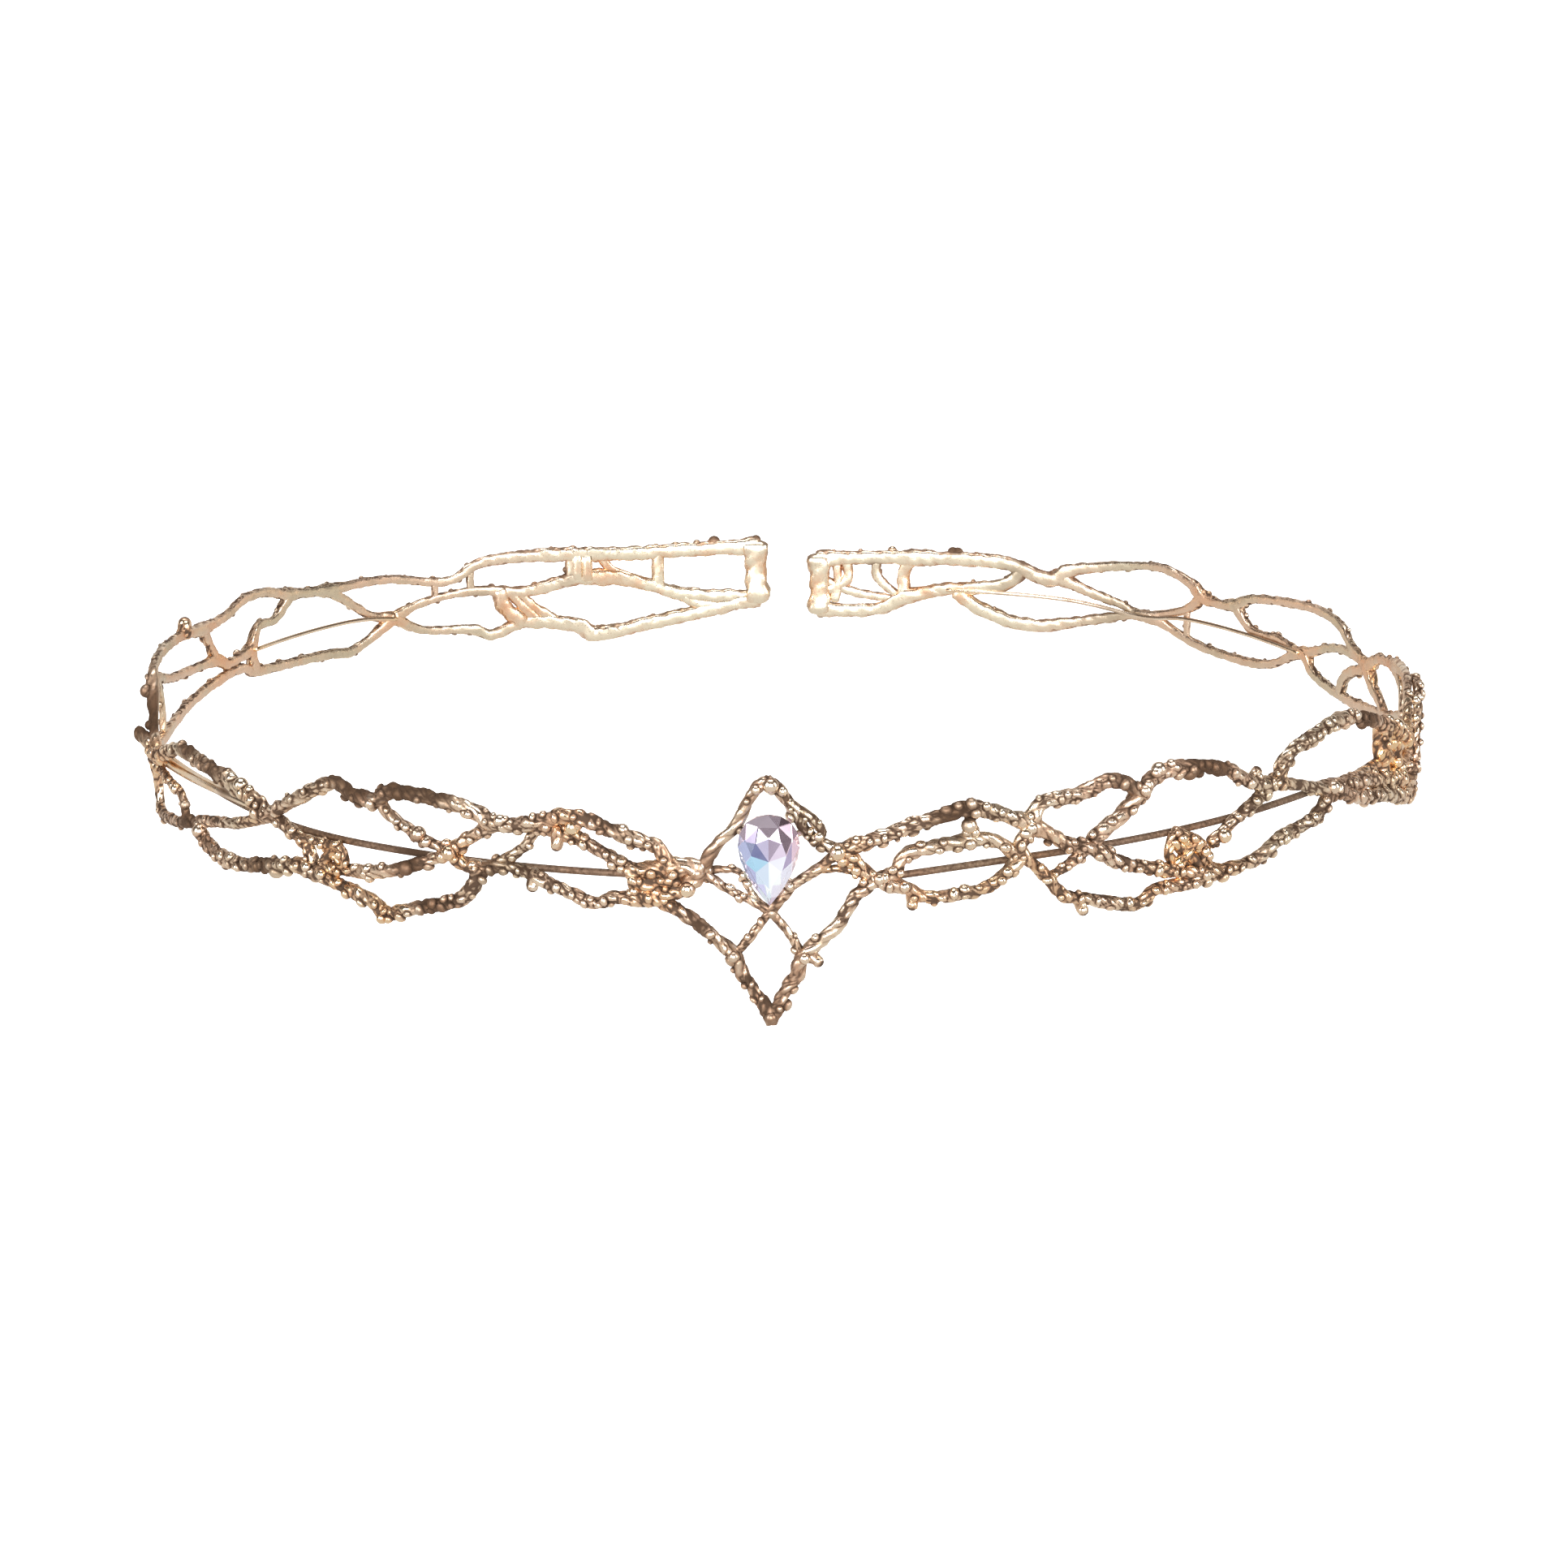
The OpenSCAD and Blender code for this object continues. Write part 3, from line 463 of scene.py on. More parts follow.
@dataclass(frozen=True)
class Band:
    """The line round the head that every vine follows, and how the circlet lies at rest."""

    radius: float = 76.0
    side_bulge: float = 0.2
    foot_half: float = 0.85
    right_foot: Spot = (152, -5)
    middle_shift: tuple[float, float, float] = (-0.85, -0.55, 0)

    def outward(self, angle: float) -> Vector:
        """The direction out of the band at an angle."""
        turn = math.radians(angle)
        return Vector((math.sin(turn), -math.cos(turn), 0))

    def place(self, angle: float, height: float, lift: float = 0.0) -> Vector:
        """A point on the band, in millimetres round the band's middle.

        Args:
            angle: degrees round the head, 0 at the front.
            height: above the band's middle.
            lift: how far outside the band.

        Returns:
            The point.
        """
        radius = self.radius + self.side_bulge * math.sin(math.radians(angle)) ** 4
        return (radius + lift) * self.outward(angle) + Vector((0, 0, height))

    def foot(self, spot: Spot) -> Vector:
        """The lowest point of the vine at a foot."""
        return self.place(*spot) - Vector((0, 0, self.foot_half))

    def at_rest(self) -> Matrix:
        """The move from millimetres round the band's middle to metres on the floor."""
        tip, left = self.foot(KNOTS["tip"]), self.foot(KNOTS["left_foot"])
        right = self.foot(self.right_foot)
        plane = (right - tip).cross(left - tip)
        axis = plane.cross(Vector((0, 0, 1)))
        turn = Matrix.Rotation(plane.angle(Vector((0, 0, 1))), 4, axis)
        there = Vector((0, -self.radius, 0)) + Vector(self.middle_shift)
        return (
            Matrix.Scale(MM, 4) @ Matrix.Translation(there) @ turn @ Matrix.Translation(-tip)
        )


BAND = Band()
AT_REST = BAND.at_rest()


@dataclass(frozen=True)
class Route:
    """A smooth curve through stops on the band, each with how far outside the band it lies."""

    stops: tuple[Spot, ...]
    lifts: tuple[float, ...]
    fineness: int = 12

    @classmethod
    def read(cls, stops: str, lift: float) -> "Route":
        """The route through stops given as knots' names and pairs of numbers."""
        spots = tuple(
            KNOTS[s] if s in KNOTS else tuple(float(x) for x in s.split(","))
            for s in stops.split()
        )
        return cls(spots, (lift,) * len(spots))

    def at(self, leg: int, share: float) -> Vector:
        """A point of the Catmull-Rom curve.

        Args:
            leg: the stop that the leg starts from.
            share: how far along the leg, from 0 to 1.

        Returns:
            The point on the band, in millimetres.
        """
        last = len(self.stops) - 1
        rows = [self.stops[k] for k in (max(leg - 1, 0), leg, leg + 1, min(leg + 2, last))]
        spot = []
        for a, b, c, d in zip(*rows):
            spot.append(
                b + (c - a) * share / 2 + (2 * a - 5 * b + 4 * c - d) * share**2 / 2
                + (3 * b - a - 3 * c + d) * share**3 / 2
            )
        lift = self.lifts[leg] + (self.lifts[leg + 1] - self.lifts[leg]) * share
        return BAND.place(spot[0], spot[1], lift)

    def points(self, step: float) -> list[Vector]:
        """Points along the route, an even step apart.

        Args:
            step: the distance between them.

        Returns:
            The points, with both ends.
        """
        fine = [self.at(0, 0.0)]
        for leg in range(len(self.stops) - 1):
            fine += [self.at(leg, (k + 1) / self.fineness) for k in range(self.fineness)]
        lengths = [0.0]
        for a, b in zip(fine, fine[1:]):
            lengths.append(lengths[-1] + (b - a).length)
        count = max(3, round(lengths[-1] / step))
        found, k = [], 0
        for i in range(count + 1):
            want = lengths[-1] * i / count
            while k < len(fine) - 2 and lengths[k + 1] < want:
                k += 1
            share = (want - lengths[k]) / max(lengths[k + 1] - lengths[k], 1e-9)
            found.append(fine[k].lerp(fine[k + 1], min(1.0, share)))
        return found


def held(value: float) -> float:
    """A number held between 0 and 1."""
    return min(1.0, max(0.0, value))


def from_front(place: Vector) -> float:
    """How many degrees round the head a place is from the front, on either side."""
    return abs(math.degrees(math.atan2(place.x, -place.y)))


def between(start: Spot, end: Spot, share: float) -> Spot:
    """The spot at a share of the way from one spot to another."""
    return start[0] + (end[0] - start[0]) * share, start[1] + (end[1] - start[1]) * share


@dataclass
class Casting:
    """A bmesh that vines, grains and thorns are added to, with what the metal's finish reads.

    The sizes say, in this order, how the inside is ground flat, how far a vine swells at a knot
    and near the open ends, where the painted glow on its inside starts and how far it reaches,
    how its ends are rounded, and how buds, seed grains and their twins stand on it.
    """

    inside_share: float = 0.5
    inside_round: float = 0.3
    inside_blend: float = 0.25
    knot_reach: float = 2.4
    no_knot: float = 9.0
    tail_start: float = 141.0
    tail_reach: float = 12.0
    tail_swell: float = 0.5
    painted_glow_start: float = 136.0
    painted_glow_reach: float = 20.0
    cap_shares: tuple[float, ...] = (0.0, 0.12, 0.35, 0.7)
    cap_depth: float = 0.45
    small_ball: float = 1.5
    bud_lift: float = 0.6
    bud_sink: float = 0.9
    seed_turn: float = 1.4
    seed_margin: float = 0.4
    twin_chance: float = 0.35
    twin_gap: float = 0.35
    twin_turn: float = 1.2
    twin_share: float = 0.85
    placed: list[Station] = field(default_factory=list)
    tree: Optional[kdtree.KDTree] = None

    def __post_init__(self) -> None:
        """Starts the casting, and the batch of grains that are not joined to it yet."""
        self.mesh, self.batch = self.fresh(), self.fresh()

    def fresh(self) -> bmesh.types.BMesh:
        """A mesh with the finish's layers: recess (painted shade and patina), inside face, nearness
        to an end (painted glow), tone (copper and painted shade).
        """
        mesh = bmesh.new()
        for name in ("recess", "inside", "end", "tone"):
            mesh.verts.layers.float.new(name)
        return mesh

    def join(self, part: bmesh.types.BMesh) -> None:
        """Joins a part to the casting, and frees it.

        Args:
            part: a mesh that was made on its own, so that its operators stay quick.
        """
        data = bpy.data.meshes.new("part")
        part.to_mesh(data)
        part.free()
        self.mesh.from_mesh(data)
        bpy.data.meshes.remove(data)

    def stations(self, points: Sequence[Vector], halves: Sequence[float]) -> list[Station]:
        """The sections of a tube with rounded ends.

        Args:
            points: the middles, an even step apart.
            halves: half the thickness at each.

        Returns:
            The stations, with closer ones at the ends.
        """
        found: list[Station] = []
        step = (points[1] - points[0]).length
        last = len(points) - 1
        for i, point in enumerate(points):
            way = (points[min(i + 1, last)] - points[max(i - 1, 0)]).normalized()
            outward = Vector((point.x, point.y, 0)).normalized()
            side = way.cross(outward).normalized()
            place = Station(point, side, side.cross(way), i * step, halves[i])
            ends = {0: self.cap_shares, last: tuple(reversed(self.cap_shares))}
            for share in ends.get(i, (1.0,)):
                round_off = math.sqrt(1 - (1 - share) ** 2)
                push = (1 - share) * halves[i] * (1 if i == last else -1)
                found.append(
                    place._replace(
                        middle=point + self.cap_depth * push * way, half=halves[i] * round_off
                    )
                )
        return found

    def tube(
        self, stations: Sequence[Station], relief: Relief, offset: float,
        seeds: Sequence[Seed] = (), flat: bool = True, stain_and_shade: float = 0.0,
    ) -> None:
        """Rolls a grid into a tube through the stations, worked on its outward face.

        Args:
            stations: the tube's sections.
            relief: the pattern of its outward face.
            offset: where in the pattern it starts.
            seeds: grains that will stand on it.
            flat: whether its inside is ground flat.
            stain_and_shade: the least recess that it has, which paints shade over the whole tube.
        """
        sides, last = relief.sides, len(stations) - 1
        near = [[s for s in seeds if abs(s.along - p.along) < s.width] for p in stations]
        part = self.fresh()
        recess_layer, inside_layer = part.verts.layers.float.values()[:2]
        bmesh.ops.create_grid(part, x_segments=last, y_segments=sides, size=1.0)
        for vert in part.verts:
            index = round((vert.co.x + 1) / 2 * last)
            station = stations[index]
            turn = math.tau * (round((vert.co.y + 1) / 2 * sides) % sides + 0.5) / sides
            if turn > math.pi:
                turn -= math.tau
            share, recess = relief.shape(station, turn, offset)
            # A tube with painted shade or stain keeps at least this recess, which paints it darker.
            recess = max(recess, stain_and_shade)
            radius = station.half * share
            rise = radius * math.cos(turn)
            floor = -station.half * self.inside_share
            inside = 0.0
            if flat and rise < floor:
                inside = min(1.0, (floor - rise) / (self.inside_blend * station.half + 1e-6))
                rise = floor + self.inside_round * (rise - floor)
            # Painted shade in a ring round each seed grain, where it stands on the vine.
            for seed in near[index]:
                gap = math.hypot(station.along - seed.along, station.half * (turn - seed.turn))
                recess = max(recess, min(1.0, 1.8 - 2.2 * gap / seed.width))
            across = radius * math.sin(turn)
            vert.co = station.middle + station.side * across + station.out * rise
            vert[recess_layer] = recess * (1 - inside)
            vert[inside_layer] = inside
        bmesh.ops.remove_doubles(part, verts=part.verts, dist=1e-4)
        self.join(part)

    def ball(
        self, middle: Vector, way: Vector, width: float, uneven: tuple[float, float, float]
    ) -> list[bmesh.types.BMVert]:
        """Adds a round body to the batch, with few faces where it is small.

        Args:
            middle: its middle.
            way: the direction that its depth lies in.
            width: its diameter.
            uneven: its two widths and its depth as shares of the diameter.

        Returns:
            Its corners.
        """
        turn = Vector((0, 0, 1)).rotation_difference(way).to_matrix().to_4x4()
        sides = 8 if width < self.small_ball else 14
        return bmesh.ops.create_uvsphere(
            self.batch, u_segments=sides, v_segments=sides - 2, radius=width / 2,
            matrix=Matrix.Translation(middle) @ turn @ Matrix.Diagonal((*uneven, 1.0)),
        )["verts"]

    def grain(
        self, station: Station, way: Vector, width: float, sink: float = 0.82,
        uneven: tuple[float, float, float] = (1.0, 1.0, 0.9),
    ) -> None:
        """Adds a round grain on a vine, with painted shade where it sinks into the metal.

        Args:
            station: the section of the vine that it stands on.
            way: the direction that it stands out in.
            width: its diameter.
            sink: how far its middle is from the vine's, as a share of the half thickness.
            uneven: its two widths and its depth as shares of the width.
        """
        along = station.side.cross(station.out)
        way = (way - way.dot(along) * along).normalized()
        middle = station.middle + way * station.half * sink
        recess_layer = self.batch.verts.layers.float["recess"]
        for vert in self.ball(middle, way, width, uneven):
            reach = vert.co - station.middle
            height = (reach - reach.dot(along) * along).length - station.half
            vert[recess_layer] = held(0.85 - height / (0.3 * width))

    def knob(self, end: Station, width: float) -> None:
        """Adds a knob on the end of a thorn, with painted shade where it meets the thorn.

        Args:
            end: the thorn's last section.
            width: the knob's diameter.
        """
        way = end.side.cross(end.out)
        recess_layer = self.batch.verts.layers.float["recess"]
        for vert in self.ball(end.middle, way, width, (1.0, 1.0, 1.0)):
            height = (vert.co - end.middle).dot(way) / width
            vert[recess_layer] = held(-2.0 * height)

    def nearest(self, place: Vector) -> Station:
        """The section of any vine that is nearest to a place."""
        return self.placed[self.map().find(place)[1]]

    def map(self) -> kdtree.KDTree:
        """The map of the vines' sections, made when it is first asked for."""
        if self.tree is None:
            self.tree = kdtree.KDTree(len(self.placed))
            for index, station in enumerate(self.placed):
                self.tree.insert(station.middle, index)
            self.tree.balance()
        return self.tree

    def bud(self, angle: float, height: float, width: float) -> None:
        """Adds a grain on the vine that is nearest to a place on the band.

        Args:
            angle: degrees round the head.
            height: above the band's middle.
            width: its diameter.
        """
        place = BAND.place(angle, height, self.bud_lift)
        station = self.nearest(place)
        self.grain(station, place - station.middle, width, self.bud_sink)

    def seeds(
        self, relief: Relief, length: float, draw: random.Random, bloom: float
    ) -> list[Seed]:
        """Scatters seed grains along a vine, some with a smaller one beside them.

        Args:
            relief: how far apart and how wide they are.
            length: how far along the vine they may stand.
            draw: where the uneven distances come from.
            bloom: how thickly the grains stand, 1 as the relief says.

        Returns:
            The grains.
        """
        found = []
        along = draw.uniform(0.3, 1.0) * relief.seed_every
        while along < length:
            if draw.random() < bloom:
                turn = draw.uniform(-self.seed_turn, self.seed_turn)
                width = relief.seed_width * draw.uniform(0.8, 1.25)
                found.append(Seed(along, turn, width))
                if draw.random() < self.twin_chance:
                    side = self.twin_turn if turn < 0 else -self.twin_turn
                    twin = self.twin_share * width
                    found.append(Seed(along + self.twin_gap * width, turn + side, twin))
            along += relief.seed_every * draw.uniform(0.6, 1.5)
        return found

    def vine(self, vine: Vine, draw: random.Random, bloom: float) -> None:
        """Adds one vine with its seed grains.

        Args:
            vine: the row of the table.
            draw: where the uneven distances come from.
            bloom: how thickly the grains stand, 1 as the relief says.
        """
        relief = RELIEFS[vine.surface]
        points = Route.read(vine.stops, vine.lift).points(relief.step)
        knots = [BAND.place(*KNOTS[s], vine.lift) for s in vine.stops.split() if s in KNOTS]
        halves = []
        for point in points:
            near = min(((point - knot).length for knot in knots), default=self.no_knot)
            swell = relief.slim + relief.knot * math.exp(-((near / self.knot_reach) ** 2))
            behind = from_front(point) - self.tail_start
            swell += self.tail_swell * held(behind / self.tail_reach)
            halves.append(vine.thick / 2 * swell)
        stations = self.stations(points, halves)
        self.placed += stations
        offset = draw.uniform(0, 50)
        length = stations[-1].along - self.seed_margin
        seeds = self.seeds(relief, length, draw, bloom)
        self.tube(stations, relief, offset, seeds)
        for seed in seeds:
            station = min(stations, key=lambda s: abs(s.along - seed.along) - s.half)
            way = station.out * math.cos(seed.turn) + station.side * math.sin(seed.turn)
            uneven = (draw.uniform(0.75, 1.3), draw.uniform(0.75, 1.3), draw.uniform(0.7, 1.0))
            self.grain(station, way, seed.width, uneven=uneven)
        self.join(self.batch)
        self.batch = self.fresh()

    def rod(
        self, route: Route, ends: tuple[float, float], surface: Surface, offset: float = 0.0,
        flat: bool = False, stain_and_shade: float = 0.0,
    ) -> Station:
        """Adds a plain or tapering rod along a route.

        Args:
            route: where it runs.
            ends: its diameter at the start and at the end.
            surface: how it is worked.
            offset: where in the pattern it starts.
            flat: whether its inside is ground flat.
            stain_and_shade: how far painted shade darkens it, from 0 to 1.

        Returns:
            The section at its end.
        """
        relief = RELIEFS[surface]
        points = route.points(relief.step)
        last = len(points) - 1
        halves = [(ends[0] + (ends[1] - ends[0]) * i / last) / 2 for i in range(last + 1)]
        stations = self.stations(points, halves)
        self.tube(stations, relief, offset, flat=flat, stain_and_shade=stain_and_shade)
        return stations[-1 - len(self.cap_shares)]

    def finish(self, name: str) -> bpy.types.Object:
        """Lays the casting at rest inside the solids' box, as one object at the origin.

        Args:
            name: the object's name.

        Returns:
            The object.
        """
        self.join(self.batch)
        end_glow_layer, tone_layer = (self.mesh.verts.layers.float[n] for n in ("end", "tone"))
        spots = kdtree.KDTree(len(TONE_SPOTS))
        for index, (angle, height, _, _) in enumerate(TONE_SPOTS):
            spots.insert(BAND.place(angle, height), index)
        spots.balance()
        for vert in self.mesh.verts:
            # Painted glow: nearness to an open end, which paints the inside paler there as if
            # brightly lit.
            behind = from_front(vert.co) - self.painted_glow_start
            vert[end_glow_layer] = held(behind / self.painted_glow_reach)
            for _, index, away in spots.find_range(vert.co, SPOT_RANGE):
                reach, tone = TONE_SPOTS[index][2:]
                vert[tone_layer] += tone * math.exp(-((away / reach) ** 2))
        bmesh.ops.transform(self.mesh, matrix=AT_REST, verts=self.mesh.verts)
        low, high = CAD_BOX
        for vert in self.mesh.verts:
            vert.co = [eased(c, a, b) for c, a, b in zip(vert.co, low, high)]
        bmesh.ops.recalc_face_normals(self.mesh, faces=self.mesh.faces)
        for face in self.mesh.faces:
            face.smooth = True
        return as_object(self.mesh, name)


# The last stretch before the limits of the solids' box, in metres, where surfaces are eased in.
EASE = 0.0002


def eased(value: float, low: float, high: float) -> float:
    """Holds a coordinate between two limits, easing the last part so no two surfaces fall together.

    Args:
        value: the coordinate, in metres.
        low: the lower limit.
        high: the upper limit.

    Returns:
        The coordinate inside the limits, in the same order as before.
    """
    if value > high - EASE:
        return high - EASE * math.exp((high - EASE - value) / EASE)
    if value < low + EASE:
        return low + EASE * math.exp((value - low - EASE) / EASE)
    return value


def as_object(mesh: bmesh.types.BMesh, name: str) -> bpy.types.Object:
    """Makes an object of a bmesh and frees the bmesh.

    Args:
        mesh: what to make it of.
        name: the object's name.

    Returns:
        The object, linked to the scene.
    """
    data = bpy.data.meshes.new(name)
    mesh.to_mesh(data)
    mesh.free()
    obj = bpy.data.objects.new(name, data)
    bpy.context.scene.collection.objects.link(obj)
    return obj


def dress(
    obj: bpy.types.Object, finish: bpy.types.Material, node: str
) -> bpy.types.Object:
    """Gives a piece its finish and its place in the frame.

    Args:
        obj: the piece.
        finish: its material.
        node: the solid that it stands for.

    Returns:
        The piece.
    """
    obj.data.materials.append(finish)
    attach(obj, "root")
    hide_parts(node)
    triangles = sum(len(p.vertices) - 2 for p in obj.data.polygons)
    LOG.info("%s: %d triangles", obj.name, triangles)
    return obj


class Value:
    """A socket's value in a material, with the sums that the finishes use."""

    def __init__(self, graph: "Graph", socket: bpy.types.NodeSocket) -> None:
        """Keeps the graph that new nodes go into and the socket."""
        self.graph, self.socket = graph, socket

    def _math(self, operation: str, a: Any, b: Any) -> "Value":
        """A Math node on two values."""
        return self.graph.add("ShaderNodeMath", {"operation": operation}, {0: a, 1: b})

    def __add__(self, other: Any) -> "Value":
        """Self plus other."""
        return self._math("ADD", self, other)

    def __radd__(self, other: Any) -> "Value":
        """Other plus self."""
        return self._math("ADD", other, self)

    def __sub__(self, other: Any) -> "Value":
        """Self minus other."""
        return self._math("SUBTRACT", self, other)

    def __rsub__(self, other: Any) -> "Value":
        """Other minus self."""
        return self._math("SUBTRACT", other, self)

    def __mul__(self, other: Any) -> "Value":
        """Self times other."""
        return self._math("MULTIPLY", self, other)

    def __rmul__(self, other: Any) -> "Value":
        """Other times self."""
        return self._math("MULTIPLY", other, self)

    def clamp(self) -> "Value":
        """Self held between 0 and 1."""
        return self.graph.add(
            "ShaderNodeMath", {"operation": "ADD", "use_clamp": True}, {0: self, 1: 0.0}
        )

    def above(self, level: float, slope: float) -> "Value":
        """How far self is above a level, times a slope, held between 0 and 1."""
        return ((self - level) * slope).clamp()

    def below(self, level: float, slope: float) -> "Value":
        """How far self is below a level, times a slope, held between 0 and 1."""
        return ((level - self) * slope).clamp()


class Graph:
    """One material's nodes, and the one method that adds them."""

    def __init__(self, name: str) -> None:
        """Starts a material with a Principled shader and its output."""
        self.material = bpy.data.materials.new(name)
        self.material.use_nodes = True
        self.nodes = self.material.node_tree.nodes
        self.shader = self.nodes["Principled BSDF"]

    def add(
        self, kind: str, settings: Optional[dict[str, Any]] = None,
        inputs: Optional[dict[Any, Any]] = None, output: Union[str, int] = 0,
    ) -> Value:
        """Adds a node.

        Args:
            kind: the node's type.
            settings: its settings, set first.
            inputs: the values or links of its sockets.
            output: which of its outputs to return.

        Returns:
            That output.
        """
        node = self.nodes.new(kind)
        for key, value in (settings or {}).items():
            setattr(node, key, value)
        self.feed(node, inputs or {})
        return Value(self, node.outputs[output])

    def feed(self, node: bpy.types.Node, inputs: dict[Any, Any]) -> None:
        """Sets or links a node's sockets.

        Args:
            node: the node.
            inputs: values, colours or links by the socket's name or number.
        """
        for key, value in inputs.items():
            socket = node.inputs[key]
            if isinstance(value, Value):
                self.material.node_tree.links.new(value.socket, socket)
            elif isinstance(value, tuple):
                socket.default_value = (*value, 1.0)
            else:
                socket.default_value = value

    def attribute(self, name: str, output: str = "Fac") -> Value:
        """A piece's own attribute."""
        return self.add("ShaderNodeAttribute", {"attribute_name": name}, {}, output)

    def grain(self, scale: float, detail: float = 3.0, roughness: float = 0.55) -> Value:
        """Noise on the object's own coordinates, from 0 to 1.

        Args:
            scale: cells in a metre.
            detail: octaves.
            roughness: how strong the fine ones are.

        Returns:
            The noise.
        """
        place = self.add("ShaderNodeTexCoord", {}, {}, "Object")
        return self.add(
            "ShaderNodeTexNoise", {},
            {"Vector": place, "Scale": scale, "Detail": detail, "Roughness": roughness}, "Fac",
        )

    def blend(self, share: Any, a: Any, b: Any) -> Value:
        """A colour between a and b."""
        return self.add("ShaderNodeMix", {"data_type": "RGBA"}, {0: share, 6: a, 7: b}, 2)

    def bump(self, height: Value, distance: float, strength: float) -> Value:
        """A normal that follows a height."""
        return self.add(
            "ShaderNodeBump", {},
            {"Height": height, "Distance": distance, "Strength": strength}, "Normal",
        )


@dataclass(frozen=True)
class RoseGold:
    """Cast rose-coloured brass: crests with a painted highlight that also stands for worn polish,
    grooves with painted shade and dark patina, a painted glow inside the open ends, and a satin
    inside.
    """

    crest_highlight: Colour = (1.0, 0.89, 0.74)
    body: Colour = (0.90, 0.60, 0.42)
    champagne: Colour = (0.78, 0.62, 0.43)
    copper: Colour = (0.92, 0.44, 0.19)
    gold: Colour = (1.0, 0.76, 0.42)
    patina_and_shade: Colour = (0.145, 0.078, 0.044)
    groove: Colour = (0.090, 0.052, 0.031)
    satin: Colour = (0.92, 0.69, 0.53)
    satin_pale: Colour = (0.76, 0.67, 0.51)
    salmon: Colour = (0.94, 0.56, 0.35)
    umber: Colour = (0.34, 0.23, 0.14)
    painted_end_glow: Colour = (1.0, 0.92, 0.74)
    polish: float = 0.14
    dull: float = 0.45
    satin_roughness: float = 0.30
    drift_cells: float = 80.0
    cloud_cells: float = 420.0
    speck_cells: float = 2600.0
    pit_cells: float = 5200.0
    pit_depth: float = 0.00003

    def material(self, name: str) -> bpy.types.Material:
        """Builds the finish as a material.

        Args:
            name: the material's name.

        Returns:
            The material.
        """
        graph = Graph(name)
        recess, inside, end, tone = (
            graph.attribute(layer) for layer in ("recess", "inside", "end", "tone")
        )
        drift, cloud = graph.grain(self.drift_cells, 2.0), graph.grain(self.cloud_cells)
        speck = graph.grain(self.speck_cells, 2.0)
        # dark is the tone below 0: painted shade that pulls the metal towards the patina, groove
        # and umber colours.
        warm, dark = tone.clamp(), (0 - tone).clamp()
        base = graph.blend(drift.above(0.46, 5.0), self.body, self.champagne)
        rust = cloud.above(0.54, 4.0) * 0.6 + warm * 0.85
        base = graph.blend(rust.clamp(), base, self.copper)
        # Random stains from the noise, with the painted shade of the tone added.
        stain_and_shade = drift.below(0.52, 6.0) * cloud.below(0.56, 5.0) * (1 - warm)
        stain_and_shade = (stain_and_shade * 0.45 + dark * 1.5).clamp()
        base = graph.blend(stain_and_shade * 0.85, base, self.patina_and_shade)
        base = graph.blend(dark * 0.72, base, self.groove)
        # Painted highlight: the raised crests are painted cream, and gold in the coppery spots, as
        # the shine they catch. It also stands for worn polish.
        high = ((1 - recess) * 1.3 - 0.5 + 0.9 * (cloud - 0.5) - stain_and_shade).clamp()
        skin = graph.blend(high, base, graph.blend(warm * 0.75, self.crest_highlight, self.gold))
        # Painted shade with dark patina: the recess paints the grooves and the feet of the grains
        # dark and less metallic, less so where the end glow is painted.
        deep = ((recess - 0.2) * 1.8 + 0.5 * (speck - 0.5)).clamp() * (1 - 0.6 * end)
        outer = graph.blend(deep, skin, self.groove)
        inner = graph.blend(drift.above(0.44, 5.0), self.satin, self.satin_pale)
        inner = graph.blend(cloud.below(0.5, 2.6) * 0.4, inner, self.umber)
        # Painted glow: the inside turns pale gold towards the open ends, as if brightly lit there.
        inner = graph.blend(end * 0.9, inner, self.painted_end_glow)
        inner = graph.blend((warm + (cloud - 0.56) * 2.0).clamp(), inner, self.salmon)
        # Painted shade on the inside where the tone is below 0.
        inner = graph.blend(dark * 0.85, inner, self.umber)
        rough = self.polish + self.dull * deep + 0.16 * (speck - 0.4) + 0.25 * stain_and_shade + 0.3 * dark
        rough = rough * (1 - inside) + (self.satin_roughness + 0.2 * (speck - 0.5)) * inside
        pits = graph.grain(self.pit_cells, 2.0)
        graph.feed(graph.shader, {
            "Base Color": graph.blend(inside, outer, inner),
            "Metallic": 1 - 0.45 * deep,
            "Roughness": rough.clamp(),
            "Normal": graph.bump(pits + 0.6 * speck, self.pit_depth, 0.5),
        })
        return graph.material


@dataclass(frozen=True)
class OpalGlass:
    """Coated crystal: each facet keeps one colour, the coating's tint with painted reflections and
    shade, under a hard clear gloss.
    """

    roughness: float = 0.06
    coat: float = 0.1
    coat_roughness: float = 0.02
    mirror: float = 0.72
    specular: float = 0.8
    ior: float = 1.6
    veil: float = 0.12
    veil_colour: Colour = (0.92, 0.90, 1.0)
    haze_cells: float = 300.0

    def material(self, name: str) -> bpy.types.Material:
        """Builds the finish as a material.

        Args:
            name: the material's name.

        Returns:
            The material.
        """
        graph = Graph(name)
        tint_and_reflection = graph.attribute("tint_and_reflection", "Color")
        haze = graph.grain(self.haze_cells, 2.0)
        graph.feed(graph.shader, {
            "Base Color": graph.blend(haze.above(0.45, 2.2) * self.veil, tint_and_reflection, self.veil_colour),
            "Metallic": self.mirror,
            "Roughness": self.roughness,
            "Coat Weight": self.coat,
            "Coat Roughness": self.coat_roughness,
            "Specular IOR Level": self.specular,
            "IOR": self.ior,
        })
        return graph.material


